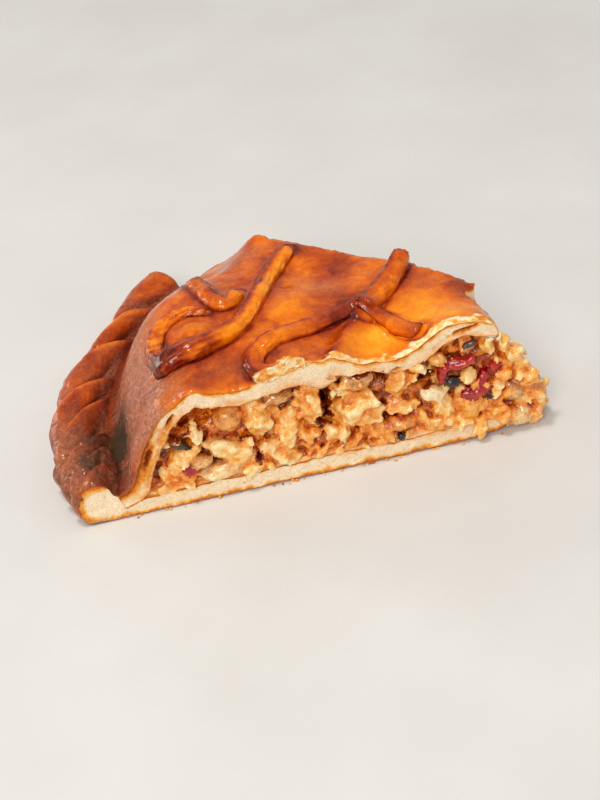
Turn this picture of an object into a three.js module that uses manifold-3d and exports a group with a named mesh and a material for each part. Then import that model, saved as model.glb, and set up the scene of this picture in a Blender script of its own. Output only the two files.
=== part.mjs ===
// A cut piece of a large round empanada: a flat sheet of bread dough whose margin is folded up into a
// twisted rim, a chopped chicken filling, a domed lid of dough, and rolled strands of dough laid on the lid.
// The piece is bounded by two knife cuts that draw together towards a blunt inner end.
//
// Millimetres, +Z up. The front cut faces -Y and runs along X, from the rim to the blunt end. The piece
// rests on the flat underside of its base, and the origin is on that underside, below the piece's middle.

import * as THREE from "three";
import { mergeVertices } from "three/addons/utils/BufferGeometryUtils.js";
import Module from "manifold-3d";

const wasm = await Module();
wasm.setup();
const { lerp, clamp, smoothstep, degToRad, radToDeg } = THREE.MathUtils;

// ---- Driving dimensions -------------------------------------------------------------------------
// Plan places are in the cut's own coordinates: x along the front cut from the rim, y back from it.

const PIECE_MIDDLE = { x: 70, y: 45 }; // the plan place that becomes the origin
const CLEARANCE = 0.3; // gap between neighbouring solids

const RIM_CENTRE = { x: 108.7, y: 31.3 }; // the middle of the arc that the rim follows
// The rim's outer radius: angle in degrees about its centre, and radius.
const RIM_OUTER = [
  [127, 114.4], [137, 113.2], [150, 112.4], [160, 113.4], [175, 115], [190, 115.4], [205, 114.6],
];
const RIM_HALF_HEIGHT = 8.4;
const RIM_CORE_HEIGHT = 7.6; // height of the middle of the rim's section
const VALLEY_RADIUS = 97; // where the lid's wall meets the rim
const VALLEY_RADIUS_AT_FRONT = 101.4; // the rim is pinched narrower at the front cut
const PINCH_SPREAD = 0.08; // how far along the rim the pinch reaches, as an angle

const FRONT_CUT_END = { x: 138.5, y: 0 }; // the two corners of the blunt end
const BACK_CUT_END = { x: 138.5, y: 26 };
const BACK_CUT_ANGLE = degToRad(138.2); // the way the back cut runs, from the blunt end

const BASE_THICKNESS = 6.6;
const BASE_THICKNESS_AT_RIM = 3.5;
const BASE_RIM_FADE = 9; // how far inside the valley the base thickens

// The ridge of each fold, as the angles about the rim's centre at which it leaves the valley and at which
// it reaches the rim's outer side. The ridges run slantwise, as the strands of a rope do.
const FOLD_RIDGES = [
  [203, 208], [189, 197.5], [184, 193.8], [180, 190.3], [167.5, 186], [162, 175], [149, 162.7],
  [137.5, 155], [117, 123],
].map((ends) => ends.map(degToRad));
const RIDGE_TURNS = { valley: 2.9, outer: 0.4 }; // the turns about the rim's section between which they run
const FOLD_RINGS = [0, 0.08, 0.16, 0.3, 0.45, 0.6, 0.75, 0.9]; // steps along a fold, ridge to ridge
const FOLD_DROP = 0.16; // share of a fold that is its steep side
const FOLD_DEPTH = 3.6;

const LID_FOOT = 0.6; // how far the lid's edge is tucked under the rim, out from the valley
const LID_THICKNESS = 6.2;
const LID_END_AT_FRONT = 138; // the lid stops a little short of the blunt end, more so at the back
const LID_END_AT_BACK = 135.2;
// The lid's rise: distance in from the valley, and height. It is drawn out towards the back cut.
const LID_RISE = [
  [0, 9.3], [3.9, 12.3], [6.8, 20.6], [12, 30.6], [16.3, 36.8], [22.3, 41.2], [29, 43], [40, 43.6],
];
const LID_RISE_STRETCH_AT_BACK = 1.82;
// The lid's upper edge along the front cut: x and height.
const LID_FRONT_EDGE = [
  [34.5, 41.3], [40.9, 43.8], [47.7, 41.7], [55.8, 41], [64, 42.7], [71, 44], [77.8, 44.3],
  [84.4, 43], [92.4, 41.5], [97.3, 40.6], [104.8, 39.9], [108.5, 40.4], [112.8, 42.5], [117.3, 45.7],
  [122, 47.5], [127.4, 48.1], [133.1, 46.8], [136.9, 44], [139, 40],
];
const FRONT_EDGE_FADE = 13; // how far back from the front cut that edge's rises and hollows reach

const FILLING_RECESS = 4.5; // how far the filling's core lies behind the cuts
const CHUNK_SEED = 20417;
const CHUNK_ROWS = 3; // rows of small pieces up each cut face
const CHUNK_COLUMNS = 8;
// How far the spilled filling reaches past the blunt end: height at the front cut, and x.
const SPILL_OUTLINE = [
  [0, 146], [3, 149.2], [5, 152], [9.5, 153], [15.9, 152.3], [20.4, 150.5], [27.3, 147.4], [32.5, 142.7],
  [36, 137.5], [60, 128],
];

// ---- Small helpers ------------------------------------------------------------------------------

/** A repeatable random number source between 0 and 1. */
function randomFrom(seed) {
  let state = seed >>> 0;
  return () => {
    state = (state + 0x6d2b79f5) >>> 0;
    let mixed = Math.imul(state ^ (state >>> 15), 1 | state);
    mixed = (mixed + Math.imul(mixed ^ (mixed >>> 7), 61 | mixed)) ^ mixed;
    return ((mixed ^ (mixed >>> 14)) >>> 0) / 4294967296;
  };
}

/** A smooth reading of a table of [place, value] pairs. */
function readTable(table, place) {
  const last = table.length - 1;
  if (place <= table[0][0]) return table[0][1];
  if (place >= table[last][0]) return table[last][1];
  const next = table.findIndex(([at]) => at > place);
  const slopeAt = (i) => {
    const before = table[Math.max(i - 1, 0)];
    const after = table[Math.min(i + 1, last)];
    return (after[1] - before[1]) / (after[0] - before[0]);
  };
  const [start, low] = table[next - 1];
  const [end, high] = table[next];
  const width = end - start;
  const t = (place - start) / width;
  const rise = low * (1 + 2 * t) * (1 - t) ** 2 + high * t * t * (3 - 2 * t);
  return rise + width * t * (1 - t) * (slopeAt(next - 1) * (1 - t) - slopeAt(next) * t);
}

/** A closed geometry as a manifold-3d solid. */
function solidOf(geometry) {
  const bare = geometry.clone();
  bare.deleteAttribute("normal");
  bare.deleteAttribute("uv");
  const merged = mergeVertices(bare, 1e-4);
  return new wasm.Manifold(
    new wasm.Mesh({
      numProp: 3,
      vertProperties: new Float32Array(merged.attributes.position.array),
      triVerts: new Uint32Array(merged.index.array),
    }),
  );
}

/** The largest connected body of a solid: scraps that a cut leaves loose are dropped. */
function largestBody(solid) {
  return solid.decompose().reduce((a, b) => (a.volume() > b.volume() ? a : b));
}

/** A named mesh of a solid's largest body. */
function meshOf(name, solid, colour, roughness) {
  const { numProp, vertProperties, triVerts } = largestBody(solid).getMesh();
  const places = [];
  for (let i = 0; i < vertProperties.length; i += numProp) {
    places.push(vertProperties[i], vertProperties[i + 1], vertProperties[i + 2]);
  }
  const geometry = new THREE.BufferGeometry();
  geometry.setAttribute("position", new THREE.Float32BufferAttribute(places, 3));
  geometry.setIndex(Array.from(triVerts));
  geometry.computeVertexNormals();
  const material = new THREE.MeshStandardMaterial({ color: colour, roughness, metalness: 0 });
  const mesh = new THREE.Mesh(geometry, material);
  mesh.name = name;
  return mesh;
}

/** A geometry whose every vertex is moved to place(x, y, z). */
function warped(geometry, place) {
  const at = geometry.attributes.position;
  for (let i = 0; i < at.count; i++) {
    const moved = place(at.getX(i), at.getY(i), at.getZ(i));
    at.setXYZ(i, moved.x, moved.y, moved.z);
  }
  return geometry;
}

/** A box of cells from 0 to 1 each way, each vertex moved to place(along, across, up). */
function warpedBox(cellsAlong, cellsAcross, place) {
  const box = new THREE.BoxGeometry(1, 1, 1, cellsAlong, cellsAcross, 1);
  return warped(box, (x, y, z) => place(x + 0.5, y + 0.5, z + 0.5));
}

// ---- The plan: the rim's arc between two cuts ---------------------------------------------------

const BACK_CUT_RUN = { x: Math.cos(BACK_CUT_ANGLE), y: Math.sin(BACK_CUT_ANGLE) };

/** The angle, about the rim's centre, at which a circle of this radius meets the front cut. */
function frontAngle(radius) {
  return Math.PI + Math.asin(RIM_CENTRE.y / radius);
}

/** The angle at which a circle of this radius meets the back cut. */
function backAngle(radius) {
  const toEnd = { x: BACK_CUT_END.x - RIM_CENTRE.x, y: BACK_CUT_END.y - RIM_CENTRE.y };
  const along = toEnd.x * BACK_CUT_RUN.x + toEnd.y * BACK_CUT_RUN.y;
  const reach = -along + Math.sqrt(along ** 2 + radius ** 2 - toEnd.x ** 2 - toEnd.y ** 2);
  return Math.atan2(toEnd.y + reach * BACK_CUT_RUN.y, toEnd.x + reach * BACK_CUT_RUN.x);
}

/** Where the back cut lies at this x. */
function backCutY(x) {
  return BACK_CUT_END.y + (x - BACK_CUT_END.x) * Math.tan(BACK_CUT_ANGLE);
}

/** The angle about the rim's centre at which a plan point lies, growing from the back cut to the front. */
function angleOf(x, y) {
  return (Math.atan2(y - RIM_CENTRE.y, x - RIM_CENTRE.x) + 2 * Math.PI) % (2 * Math.PI);
}

/** The radius of the valley between rim and lid at this angle: wider where the rim is pinched. */
function valleyRadius(angle) {
  const fromFront = (frontAngle(VALLEY_RADIUS_AT_FRONT) - angle) / PINCH_SPREAD;
  const pinch = fromFront < 0 ? 1 : Math.exp(-(fromFront ** 2));
  return lerp(VALLEY_RADIUS, VALLEY_RADIUS_AT_FRONT, pinch);
}

/**
 * A plan point between the cuts. Along 0 is an arc that lies this far out from the valley, and along 1
 * the blunt end. Across 0 is the front cut, and across 1 the back cut.
 */
function planPoint(outwards, along, across, endAtFront = FRONT_CUT_END.x, endAtBack = BACK_CUT_END.x) {
  const angle = lerp(
    frontAngle(VALLEY_RADIUS_AT_FRONT + outwards),
    backAngle(VALLEY_RADIUS + outwards),
    across,
  );
  const radius = valleyRadius(angle) + outwards;
  const start = {
    x: RIM_CENTRE.x + radius * Math.cos(angle),
    y: RIM_CENTRE.y + radius * Math.sin(angle),
  };
  return {
    x: lerp(start.x, lerp(endAtFront, endAtBack, across), along),
    y: lerp(start.y, backCutY(endAtBack) * across, along),
  };
}

/** The space that the knife leaves between the two cuts. */
function spaceBetweenCuts() {
  const margin = 60;
  const far = 160;
  const outline = [
    [-margin, 0],
    [BACK_CUT_END.x + margin, 0],
    [BACK_CUT_END.x + margin, BACK_CUT_END.y],
    [BACK_CUT_END.x, BACK_CUT_END.y],
    [BACK_CUT_END.x + far * BACK_CUT_RUN.x, BACK_CUT_END.y + far * BACK_CUT_RUN.y],
    [-margin, BACK_CUT_END.y + far * BACK_CUT_RUN.y],
  ];
  const shape = new THREE.Shape(outline.map(([x, y]) => new THREE.Vector2(x, y)));
  return solidOf(new THREE.ExtrudeGeometry(shape, { depth: 90, bevelEnabled: false }));
}

// ---- Surfaces -----------------------------------------------------------------------------------

/** A slow, uneven swell between about -1 and 1, the same wherever it is read. */
function swell(x, y) {
  return (
    0.45 * Math.sin(0.093 * x + 0.051 * y + 0.7) +
    0.33 * Math.sin(-0.061 * x + 0.147 * y + 2.1) +
    0.22 * Math.sin(0.211 * x - 0.173 * y + 4.4)
  );
}

/** How far a plan point lies in from the valley. */
function distanceInside(x, y) {
  const radius = Math.hypot(x - RIM_CENTRE.x, y - RIM_CENTRE.y);
  return valleyRadius(angleOf(x, y)) - radius;
}

/** The height of the base sheet's upper face. */
function baseHeight(x, y) {
  const grown = smoothstep(distanceInside(x, y), -2, BASE_RIM_FADE);
  return lerp(BASE_THICKNESS_AT_RIM, BASE_THICKNESS, grown) + 0.5 * swell(1.7 * x, 1.7 * y) * grown;
}

// Rises and hollows of the lid: middle, height, and how far each spreads.
const LID_SWELLS = [
  { x: 45, y: 30.5, height: 2.6, spread: 6.5 },
  { x: 71, y: 10, height: 1.8, spread: 7 },
  { x: 78, y: 36, height: 1.6, spread: 10 },
  { x: 90, y: 50, height: -1.8, spread: 9 },
  { x: 118, y: 28, height: 1.6, spread: 10 },
  { x: 60, y: 60, height: -1.4, spread: 10 },
];

// A soft fold in the lid that runs from the forked strand down to the front cut.
const LID_FOLD = { from: { x: 99, y: 21 }, to: { x: 84.5, y: -1 }, height: 2.6, spread: 3.4 };

/** How far a plan point lies from a straight run. */
function distanceToRun(x, y, from, to) {
  const run = { x: to.x - from.x, y: to.y - from.y };
  const along = (x - from.x) * run.x + (y - from.y) * run.y;
  const share = clamp(along / (run.x ** 2 + run.y ** 2), 0, 1);
  return Math.hypot(x - from.x - share * run.x, y - from.y - share * run.y);
}

/** The height of the lid before its swells, drawn out towards the back cut. */
function lidRise(x, y) {
  const stretch = lerp(LID_RISE_STRETCH_AT_BACK, 1, smoothstep(angleOf(x, y), 2.27, 3));
  return readTable(LID_RISE, distanceInside(x, y) / stretch);
}

/** The height of the lid's upper face. */
function lidHeight(x, y) {
  let height = lidRise(x, y);
  const onTop = smoothstep(height, 20, 41);
  for (const rise of LID_SWELLS) {
    const away = Math.hypot(x - rise.x, y - rise.y) / rise.spread;
    height += rise.height * Math.exp(-(away ** 2)) * onTop;
  }
  height += 0.8 * swell(x, y) * onTop;
  const atEdge = Math.exp(-((y / FRONT_EDGE_FADE) ** 2)) * smoothstep(x, 32, 40);
  height = lerp(height, readTable(LID_FRONT_EDGE, x), atEdge);
  const fold = distanceToRun(x, y, LID_FOLD.from, LID_FOLD.to) / LID_FOLD.spread;
  height += LID_FOLD.height * Math.exp(-(fold ** 2));
  const endDroop = smoothstep(x, LID_END_AT_BACK - 5, LID_END_AT_BACK + 1.5) * smoothstep(y, 2, 10);
  return height - 1.2 * endDroop;
}

/** How thick the lid is: doughy over the middle of the front cut, thin beside it. */
function lidThickness(x, y) {
  const nearFront = Math.exp(-((y / 14) ** 2));
  const doughy = 4 * Math.exp(-(((x - 81.5) / 6) ** 2)) * nearFront;
  const thin = 1.3 * Math.exp(-(((x - 96) / 6) ** 2)) * nearFront;
  return LID_THICKNESS + doughy - thin + 0.5 * swell(2.3 * y, 1.9 * x);
}

/** A point of the lid's upper face, or of its lower face, which lies a thickness in from the upper. */
function lidPoint(x, y, isTop, grow) {
  const step = 0.5;
  const slopeX = (lidHeight(x + step, y) - lidHeight(x - step, y)) / (2 * step);
  const slopeY = (lidHeight(x, y + step) - lidHeight(x, y - step)) / (2 * step);
  const normal = new THREE.Vector3(-slopeX, -slopeY, 1).normalize();
  const top = new THREE.Vector3(x, y, lidHeight(x, y));
  if (isTop) return top.addScaledVector(normal, grow);
  const under = top.addScaledVector(normal, -lidThickness(x, y) - grow);
  under.z = Math.max(under.z, baseHeight(under.x, under.y) + CLEARANCE - grow);
  return under;
}

// ---- Lid and base -------------------------------------------------------------------------------

/** The lid, or with grow the space that its neighbours keep out of. */
function lidSolid(grow = 0) {
  const wallShare = 0.24; // the wall's share of the lid's length, and of the cells along it
  const wallCells = 0.42;
  const shell = warpedBox(34, 14, (along, across, up) => {
    const spaced =
      along < wallCells
        ? (along / wallCells) * wallShare
        : lerp(wallShare, 1, (along - wallCells) / (1 - wallCells));
    const at = planPoint(LID_FOOT, spaced, across, LID_END_AT_FRONT, LID_END_AT_BACK);
    const point = lidPoint(at.x, at.y, up > 0.5, grow);
    if (along === 0) {
      const outwards = new THREE.Vector3(at.x - RIM_CENTRE.x, at.y - RIM_CENTRE.y, 0).setLength(grow);
      point.add(outwards);
    }
    // The edges are held to the cuts, so that the cut faces stay flat.
    if (along === 1) point.x = lerp(LID_END_AT_FRONT, LID_END_AT_BACK, across) + grow;
    if (across === 0) point.y = -grow;
    if (across === 1) point.y = backCutY(point.x) + 1.4 * grow;
    return point;
  });
  return solidOf(shell);
}

/** How far a fold stands out: from its ridge a steep drop, then a slow rise to the next ridge. */
function foldRise(share) {
  if (share < FOLD_DROP) return Math.cos((share / FOLD_DROP) * Math.PI * 0.5);
  return Math.sin(((share - FOLD_DROP) / (1 - FOLD_DROP)) * Math.PI * 0.5);
}

/** How far a turn about the rim's section is from a ridge's outer end to its valley end, 0 to 1. */
function ridgeShare(turn) {
  if (turn < -Math.PI / 2) return smoothstep(-turn, Math.PI / 2, Math.PI);
  return clamp((turn - RIDGE_TURNS.outer) / (RIDGE_TURNS.valley - RIDGE_TURNS.outer), 0, 1);
}

/** Each ring of the rim: its angle at the valley and at the outer side, and how far it stands out. */
function rimRings() {
  const rings = [];
  for (let fold = 0; fold < FOLD_RIDGES.length - 1; fold++) {
    for (const share of FOLD_RINGS) {
      const [atValley, atOuter] = [0, 1].map((end) =>
        lerp(FOLD_RIDGES[fold][end], FOLD_RIDGES[fold + 1][end], share),
      );
      rings.push({ atValley, atOuter, rise: foldRise(share) });
    }
  }
  return rings;
}

/** The twisted rim, run past both cuts. Its rings lean, each following the run of the folds. */
function rimSolid(grow = 0) {
  const rings = rimRings();
  const rod = new THREE.CylinderGeometry(1, 1, 1, 16, rings.length - 1).rotateX(Math.PI / 2);
  return solidOf(
    warped(rod, (x, y, z) => {
      const reach = Math.hypot(x, y);
      const turn = Math.atan2(y, x);
      const ring = rings[Math.round((0.5 + z) * (rings.length - 1))];
      const angle = lerp(ring.atOuter, ring.atValley, ridgeShare(turn));
      const shown = smoothstep(turn, -1.2, -0.1) * (1 - smoothstep(turn, 2.5, 3.1));
      const fold = FOLD_DEPTH * (ring.rise - 0.8) * shown;
      const inner = valleyRadius(angle);
      const outer = readTable(RIM_OUTER, radToDeg(angle));
      const halfWidth = (outer - inner) / 2 + fold + grow;
      // The lower half is squared, because the dough lies flat on its underside.
      const squared = turn < 0 ? 0.6 : 1;
      const outwards = Math.sign(Math.cos(turn)) * Math.abs(Math.cos(turn)) ** squared;
      const radius = (outer + inner) / 2 + reach * halfWidth * outwards;
      const upwards = reach * (RIM_HALF_HEIGHT + fold + grow) * Math.sin(turn);
      return new THREE.Vector3(
        RIM_CENTRE.x + radius * Math.cos(angle),
        RIM_CENTRE.y + radius * Math.sin(angle),
        Math.max(0, RIM_CORE_HEIGHT + upwards),
      );
    }),
  );
}

/** The base sheet without its rim, or with grow the space above it that the filling keeps out of. */
function baseSheet(grow = 0) {
  const reachUnderRim = 9;
  return solidOf(
    warpedBox(18, 10, (along, across, up) => {
      const at = planPoint(reachUnderRim, along, across);
      if (across === 0) at.y = 0;
      return new THREE.Vector3(at.x, at.y, up > 0.5 ? baseHeight(at.x, at.y) + grow : 0);
    }),
  );
}

/** The base with its margin folded up into the rim, clear of the lid. */
function baseSolid() {
  return baseSheet().add(rimSolid().intersect(spaceBetweenCuts())).subtract(lidSolid(CLEARANCE));
}

// ---- Strands of dough on the lid ----------------------------------------------------------------

// Each strand's route in plan, and its radius at the start, the middle and the end.
const STRANDS = {
  strand_long: {
    route: [
      [86, 66.5], [80, 59.5], [75.8, 53.6], [71.7, 46], [67.7, 38.4], [63.4, 30.5], [58, 25],
      [49, 21], [40, 18.3], [31.5, 16.4],
    ],
    radii: [2.9, 3.3, 3.6],
  },
  strand_crescent: {
    route: [[31.6, 22.5], [31.9, 29.5], [34.2, 35.8], [38.6, 39.8], [45, 41.2], [51.4, 38]],
    radii: [2.9, 2.8, 1.8],
  },
  strand_hook: {
    route: [[49.6, 61], [51.2, 56.3], [53.2, 49.4], [56, 42.2], [59.6, 41.2], [63.4, 46]],
    radii: [2.8, 2.6, 2.4],
  },
  strand_fork: {
    route: [
      [76.5, -3.4], [71, -0.4], [64.6, 0.6], [61.6, 5], [63.4, 11], [70.5, 15.2], [82.4, 18.8],
      [93, 22], [99, 23.4], [104.6, 17.6], [109.2, 10.4], [114.6, 4.8],
    ],
    radii: [3.2, 3.1, 3.1],
  },
};

// The second arm of the forked strand, a fat one whose end stands up off the lid.
const FORK_ARM = {
  route: [[99.5, 20.8], [104.6, 26], [109.6, 31], [113.8, 36.4], [117, 42.4]],
  radii: [4.2, 4.4, 3.1],
  lift: 1.6,
};

/** A round-ended strand along a route on the lid, half sunk in it. */
function strandSolid({ route, radii, lift = 0 }, stepLength, grow = 0) {
  const plan = new THREE.CatmullRomCurve3(route.map(([x, y]) => new THREE.Vector3(x, y, 0)));
  const length = plan.getLength();
  const [start, middle, end] = radii;
  const steps = Math.round(length / stepLength);
  const capsule = new THREE.CapsuleGeometry(middle, length - 2 * middle, 2, 8, steps);
  return solidOf(
    warped(capsule, (x, y, z) => {
      const share = clamp(0.5 + y / length, 0, 1);
      const at = plan.getPointAt(share);
      const heading = plan.getTangentAt(share);
      const radius = share < 0.5 ? lerp(start, middle, 2 * share) : lerp(middle, end, 2 * share - 1);
      const scale = (radius + grow) / middle;
      const rise = 0.45 * radius + lift * smoothstep(share, 0.5, 1);
      return new THREE.Vector3(
        at.x + heading.y * x * scale,
        at.y - heading.x * x * scale,
        lidHeight(at.x, at.y) + rise + 0.9 * z * scale,
      );
    }),
  );
}

/** Every strand, each clear of the lid and of the strand laid before it. */
function strandSolids() {
  const lidSpace = lidSolid().translate([0, 0, CLEARANCE]).add(lidSolid());
  const strands = Object.entries(STRANDS).map(([name, strand]) => [name, strandSolid(strand, 3.6)]);
  const laid = Object.fromEntries(strands);
  const longSpace = strandSolid(STRANDS.strand_long, 3.6, CLEARANCE);
  const fork = laid.strand_fork.add(strandSolid(FORK_ARM, 3.2)).intersect(spaceBetweenCuts());
  return {
    strand_long: laid.strand_long.subtract(lidSpace),
    strand_crescent: laid.strand_crescent.subtract(lidSpace).subtract(longSpace),
    strand_hook: laid.strand_hook.subtract(lidSpace).subtract(longSpace),
    strand_fork: fork.subtract(lidSpace),
  };
}

// ---- The filling --------------------------------------------------------------------------------

// The largest pieces that the front cut shows: middle along the cut and up, size along, across and up,
// and how far the piece leans.
const FRONT_PIECES = [
  { x: 34, z: 18.5, size: [14, 9, 7], lean: -0.2 },
  { x: 39.5, z: 25.5, size: [6, 8, 7], lean: 0.2 },
  { x: 45, z: 10.5, size: [13, 8, 7], lean: -0.2 },
  { x: 50, z: 15.5, size: [18, 10, 9], lean: 0.75 },
  { x: 52, z: 27.5, size: [9.5, 10, 10], lean: 0 },
  { x: 60.5, z: 25.5, size: [10, 11, 16], lean: 0.1 },
  { x: 69, z: 20.5, size: [11, 10, 17], lean: 0.1 },
  { x: 67, z: 31.5, size: [11, 11, 6], lean: 0.1 },
  { x: 78, z: 26.5, size: [11.5, 11, 16], lean: 0 },
  { x: 91, z: 20.5, size: [19, 12, 18], lean: 0.2 },
  { x: 93, z: 31, size: [11, 12, 8], lean: 0 },
  { x: 105.5, z: 27.5, size: [12, 11, 14], lean: 0 },
  { x: 106, z: 17.5, size: [12, 9, 7], lean: 0.1 },
  { x: 116.5, z: 27.5, size: [10, 9, 8], lean: 0.2 },
  { x: 118.5, z: 16.5, size: [7, 9, 13], lean: -0.3 },
  { x: 124, z: 35, size: [11, 10, 7], lean: 0.1 },
  { x: 130, z: 26.5, size: [12, 10, 12], lean: 0.2 },
  { x: 127, z: 15, size: [13, 10, 9], lean: 0.1 },
];

/** One piece of the filling: a lump with an uneven, faceted skin, of 80 faces or of 20. */
function chunk({ x, y, z }, size, [lean, turn], random, detail = 0) {
  const ball = new THREE.IcosahedronGeometry(0.5, detail);
  const lump = mergeVertices(ball.deleteAttribute("normal").deleteAttribute("uv"), 1e-4);
  const unevenness = detail > 0 ? 0.3 : 0.4;
  warped(lump, (px, py, pz) =>
    new THREE.Vector3(px, py, pz).multiplyScalar(1.12 + unevenness * (random() - 0.6)),
  );
  lump.scale(...size);
  lump.rotateY(lean).rotateZ(turn).translate(x, y, z);
  // Where a piece meets the base or the lid it is pressed flat.
  warped(lump, (px, py, pz) => {
    const { low, high } = fillingSpan(px, py);
    return new THREE.Vector3(px, py, clamp(pz, low + 0.4, Math.max(high - 0.5, low + 2)));
  });
  return solidOf(lump);
}

/** The heights between which the filling lies at a plan point. */
function fillingSpan(x, y) {
  const pastBase = x > BACK_CUT_END.x + CLEARANCE;
  return { low: pastBase ? 0.6 : baseHeight(x, y), high: lidPoint(x, y, false, 0).z };
}

/** The filling's core: what lies between base and lid, a little behind the cuts and sunk from the lid. */
function fillingCore() {
  return solidOf(
    warpedBox(12, 5, (along, across, up) => {
      const at = planPoint(-9, along, across);
      const inFromFront = across === 0 ? FILLING_RECESS : 0;
      const inFromBack = across === 1 ? FILLING_RECESS : 0;
      const y = at.y + inFromFront - 1.35 * inFromBack;
      const atEnd = smoothstep(along, 0.93, 1);
      const { low, high } = fillingSpan(at.x, y);
      const sunk = 2.4 + 1.8 * swell(3.1 * at.x, 2.7 * y) + 5 * atEnd;
      const bulge = atEnd * (up > 0.5 ? 0 : 6);
      return new THREE.Vector3(at.x + bulge, y, up > 0.5 ? high - sunk : low + CLEARANCE);
    }),
  );
}

/** Small pieces over both cut faces, which show where the larger ones leave room. */
function scatteredPieces(random) {
  const pieces = [];
  const add = (x, y, z, scale, turn) => {
    const size = [0, 1, 2].map(() => scale * (0.8 + 0.5 * random()));
    pieces.push(chunk({ x, y, z }, size, [3 * random(), turn], random));
  };
  for (let column = 0; column < CHUNK_COLUMNS; column++) {
    for (let row = 0; row < CHUNK_ROWS; row++) {
      const along = (column + 0.25 + 0.5 * random()) / CHUNK_COLUMNS;
      const up = (row + 0.3 + 0.4 * random()) / CHUNK_ROWS;
      const front = planPoint(-10, along, 0);
      const frontSpan = fillingSpan(front.x, front.y + 4);
      add(front.x, 4.6, lerp(frontSpan.low + 3, frontSpan.high - 3, up), 8, 0);
      const back = planPoint(-13, along, 1);
      const backSpan = fillingSpan(back.x, back.y - 6);
      add(back.x, back.y - 6, lerp(backSpan.low + 3, backSpan.high - 3, up), 12, BACK_CUT_ANGLE);
    }
  }
  return pieces;
}

/** The clump that has spilled past the blunt end, lower and shorter towards the back. */
function spilledPieces(random) {
  const pieces = [];
  for (let row = 0; row < 4; row++) {
    for (let level = 0; level < 4; level++) {
      const y = lerp(4, BACK_CUT_END.y - 6, row / 3) + 1.5 * (random() - 0.5);
      const z = 6.8 + 8 * level + 1.5 * (random() - 0.5);
      const size = [0, 1, 2].map(() => 9.5 + 3 * random());
      const x = readTable(SPILL_OUTLINE, z + 2 + 0.78 * y) - 0.5 * size[0];
      const lean = level * 1.1 + row;
      if (x > 126) pieces.push(chunk({ x, y, z }, size, [lean, row - level], random, row < 2 ? 1 : 0));
    }
  }
  return pieces;
}

/** The filling, its core and every piece that shows joined in one solid, clear of base and lid. */
function fillingSolid() {
  const random = randomFrom(CHUNK_SEED);
  const frontPieces = FRONT_PIECES.map(({ x, z, size, lean }) =>
    chunk({ x, y: size[1] / 2 - 0.6, z }, size, [lean, 0], random, 1),
  );
  const pieces = [...frontPieces, ...scatteredPieces(random), ...spilledPieces(random)];
  const joined = pieces.reduce((whole, piece) => whole.add(piece), fillingCore());
  const baseSpace = baseSheet(CLEARANCE).add(rimSolid(CLEARANCE));
  return joined.subtract(lidSolid(CLEARANCE)).subtract(baseSpace);
}

// ---- The whole piece ----------------------------------------------------------------------------

const strands = strandSolids();
const piece = new THREE.Group();
piece.add(
  meshOf("bottom_crust", baseSolid(), 0xe3a25a, 0.6),
  meshOf("filling", fillingSolid(), 0xd99a4e, 0.5),
  meshOf("top_crust", lidSolid(), 0xd9822b, 0.35),
  ...Object.entries(strands).map(([name, solid]) => meshOf(name, solid, 0xc8641c, 0.35)),
);
piece.position.set(-PIECE_MIDDLE.x, -PIECE_MIDDLE.y, 0);

export default piece;
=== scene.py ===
"""A cut piece of a large round empanada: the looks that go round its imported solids.

The piece has a base of bread dough folded up into a twisted rim, a chopped chicken filling, a glazed lid
and strands of dough laid on the lid. Shapes are worked out in millimetres in the cut's own plan: x along
the front cut from the rim, y back from it, z up. Meshes are stored in metres in the shared frame.
"""

from __future__ import annotations

import logging
import math
from dataclasses import dataclass, field
from enum import IntEnum
from functools import lru_cache
from typing import Sequence

import bpy
import numpy as np
import openvdb
from mathutils import Matrix

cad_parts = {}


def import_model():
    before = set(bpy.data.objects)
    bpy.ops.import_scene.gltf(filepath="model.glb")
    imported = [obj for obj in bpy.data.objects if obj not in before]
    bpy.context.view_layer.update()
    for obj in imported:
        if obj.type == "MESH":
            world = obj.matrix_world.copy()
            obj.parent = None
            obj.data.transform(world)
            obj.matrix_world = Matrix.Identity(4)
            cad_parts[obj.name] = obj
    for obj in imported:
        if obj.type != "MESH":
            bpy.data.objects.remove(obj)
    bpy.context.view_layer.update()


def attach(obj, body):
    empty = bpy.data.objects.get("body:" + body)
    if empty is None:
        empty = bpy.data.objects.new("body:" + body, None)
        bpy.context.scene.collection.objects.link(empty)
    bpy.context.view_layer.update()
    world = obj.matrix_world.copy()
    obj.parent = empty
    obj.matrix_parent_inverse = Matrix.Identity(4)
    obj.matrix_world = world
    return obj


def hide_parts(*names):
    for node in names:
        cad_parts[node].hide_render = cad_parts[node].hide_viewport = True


Array = np.ndarray
Table = Sequence[Sequence[float]]

LOG = logging.getLogger("empanada")

MM = 0.001
PIECE_MIDDLE = (70.0, 45.0, 0.0)  # the plan place that becomes the origin

RIM_CENTRE = (108.7, 31.3)  # the middle of the arc that the rim follows
# The rim's outer radius at each angle about that middle, in degrees.
RIM_OUTER: Table = (
    (127, 114.4), (137, 113.6), (143, 112.4), (147, 109.6), (151, 109.2), (156, 110.4), (161, 112.8),
    (167, 115.2), (175, 116), (182, 116.6), (187, 116.8), (194, 115.4), (199, 114.6), (205, 114.6),
)
RIM_HALF_HEIGHT = 8.4
RIM_CORE_HEIGHT = 7.6  # the height and the radius of the middle of the rim's section
RIM_CORE_RADIUS = 105.5
RIM_CUT_RADIUS = (115.3 + 101.4) / 2  # the middle of the rim where the front cut goes through it
RIM_CUT_SIZE = (7.0, 8.2)  # half its width and half its height there
VALLEY_RADIUS = 97.0  # where the lid's wall meets the rim
VALLEY_RADIUS_AT_FRONT = 101.4
PINCH_SPREAD = 0.08  # how far along the rim the pinch at the front cut reaches, as an angle
FRONT_CUT_END = 138.5
BACK_CUT_END = (138.5, 26.0)
BACK_CUT_ANGLE = math.radians(138.2)
BACK_CUT_RUN = (math.cos(BACK_CUT_ANGLE), math.sin(BACK_CUT_ANGLE))
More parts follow.
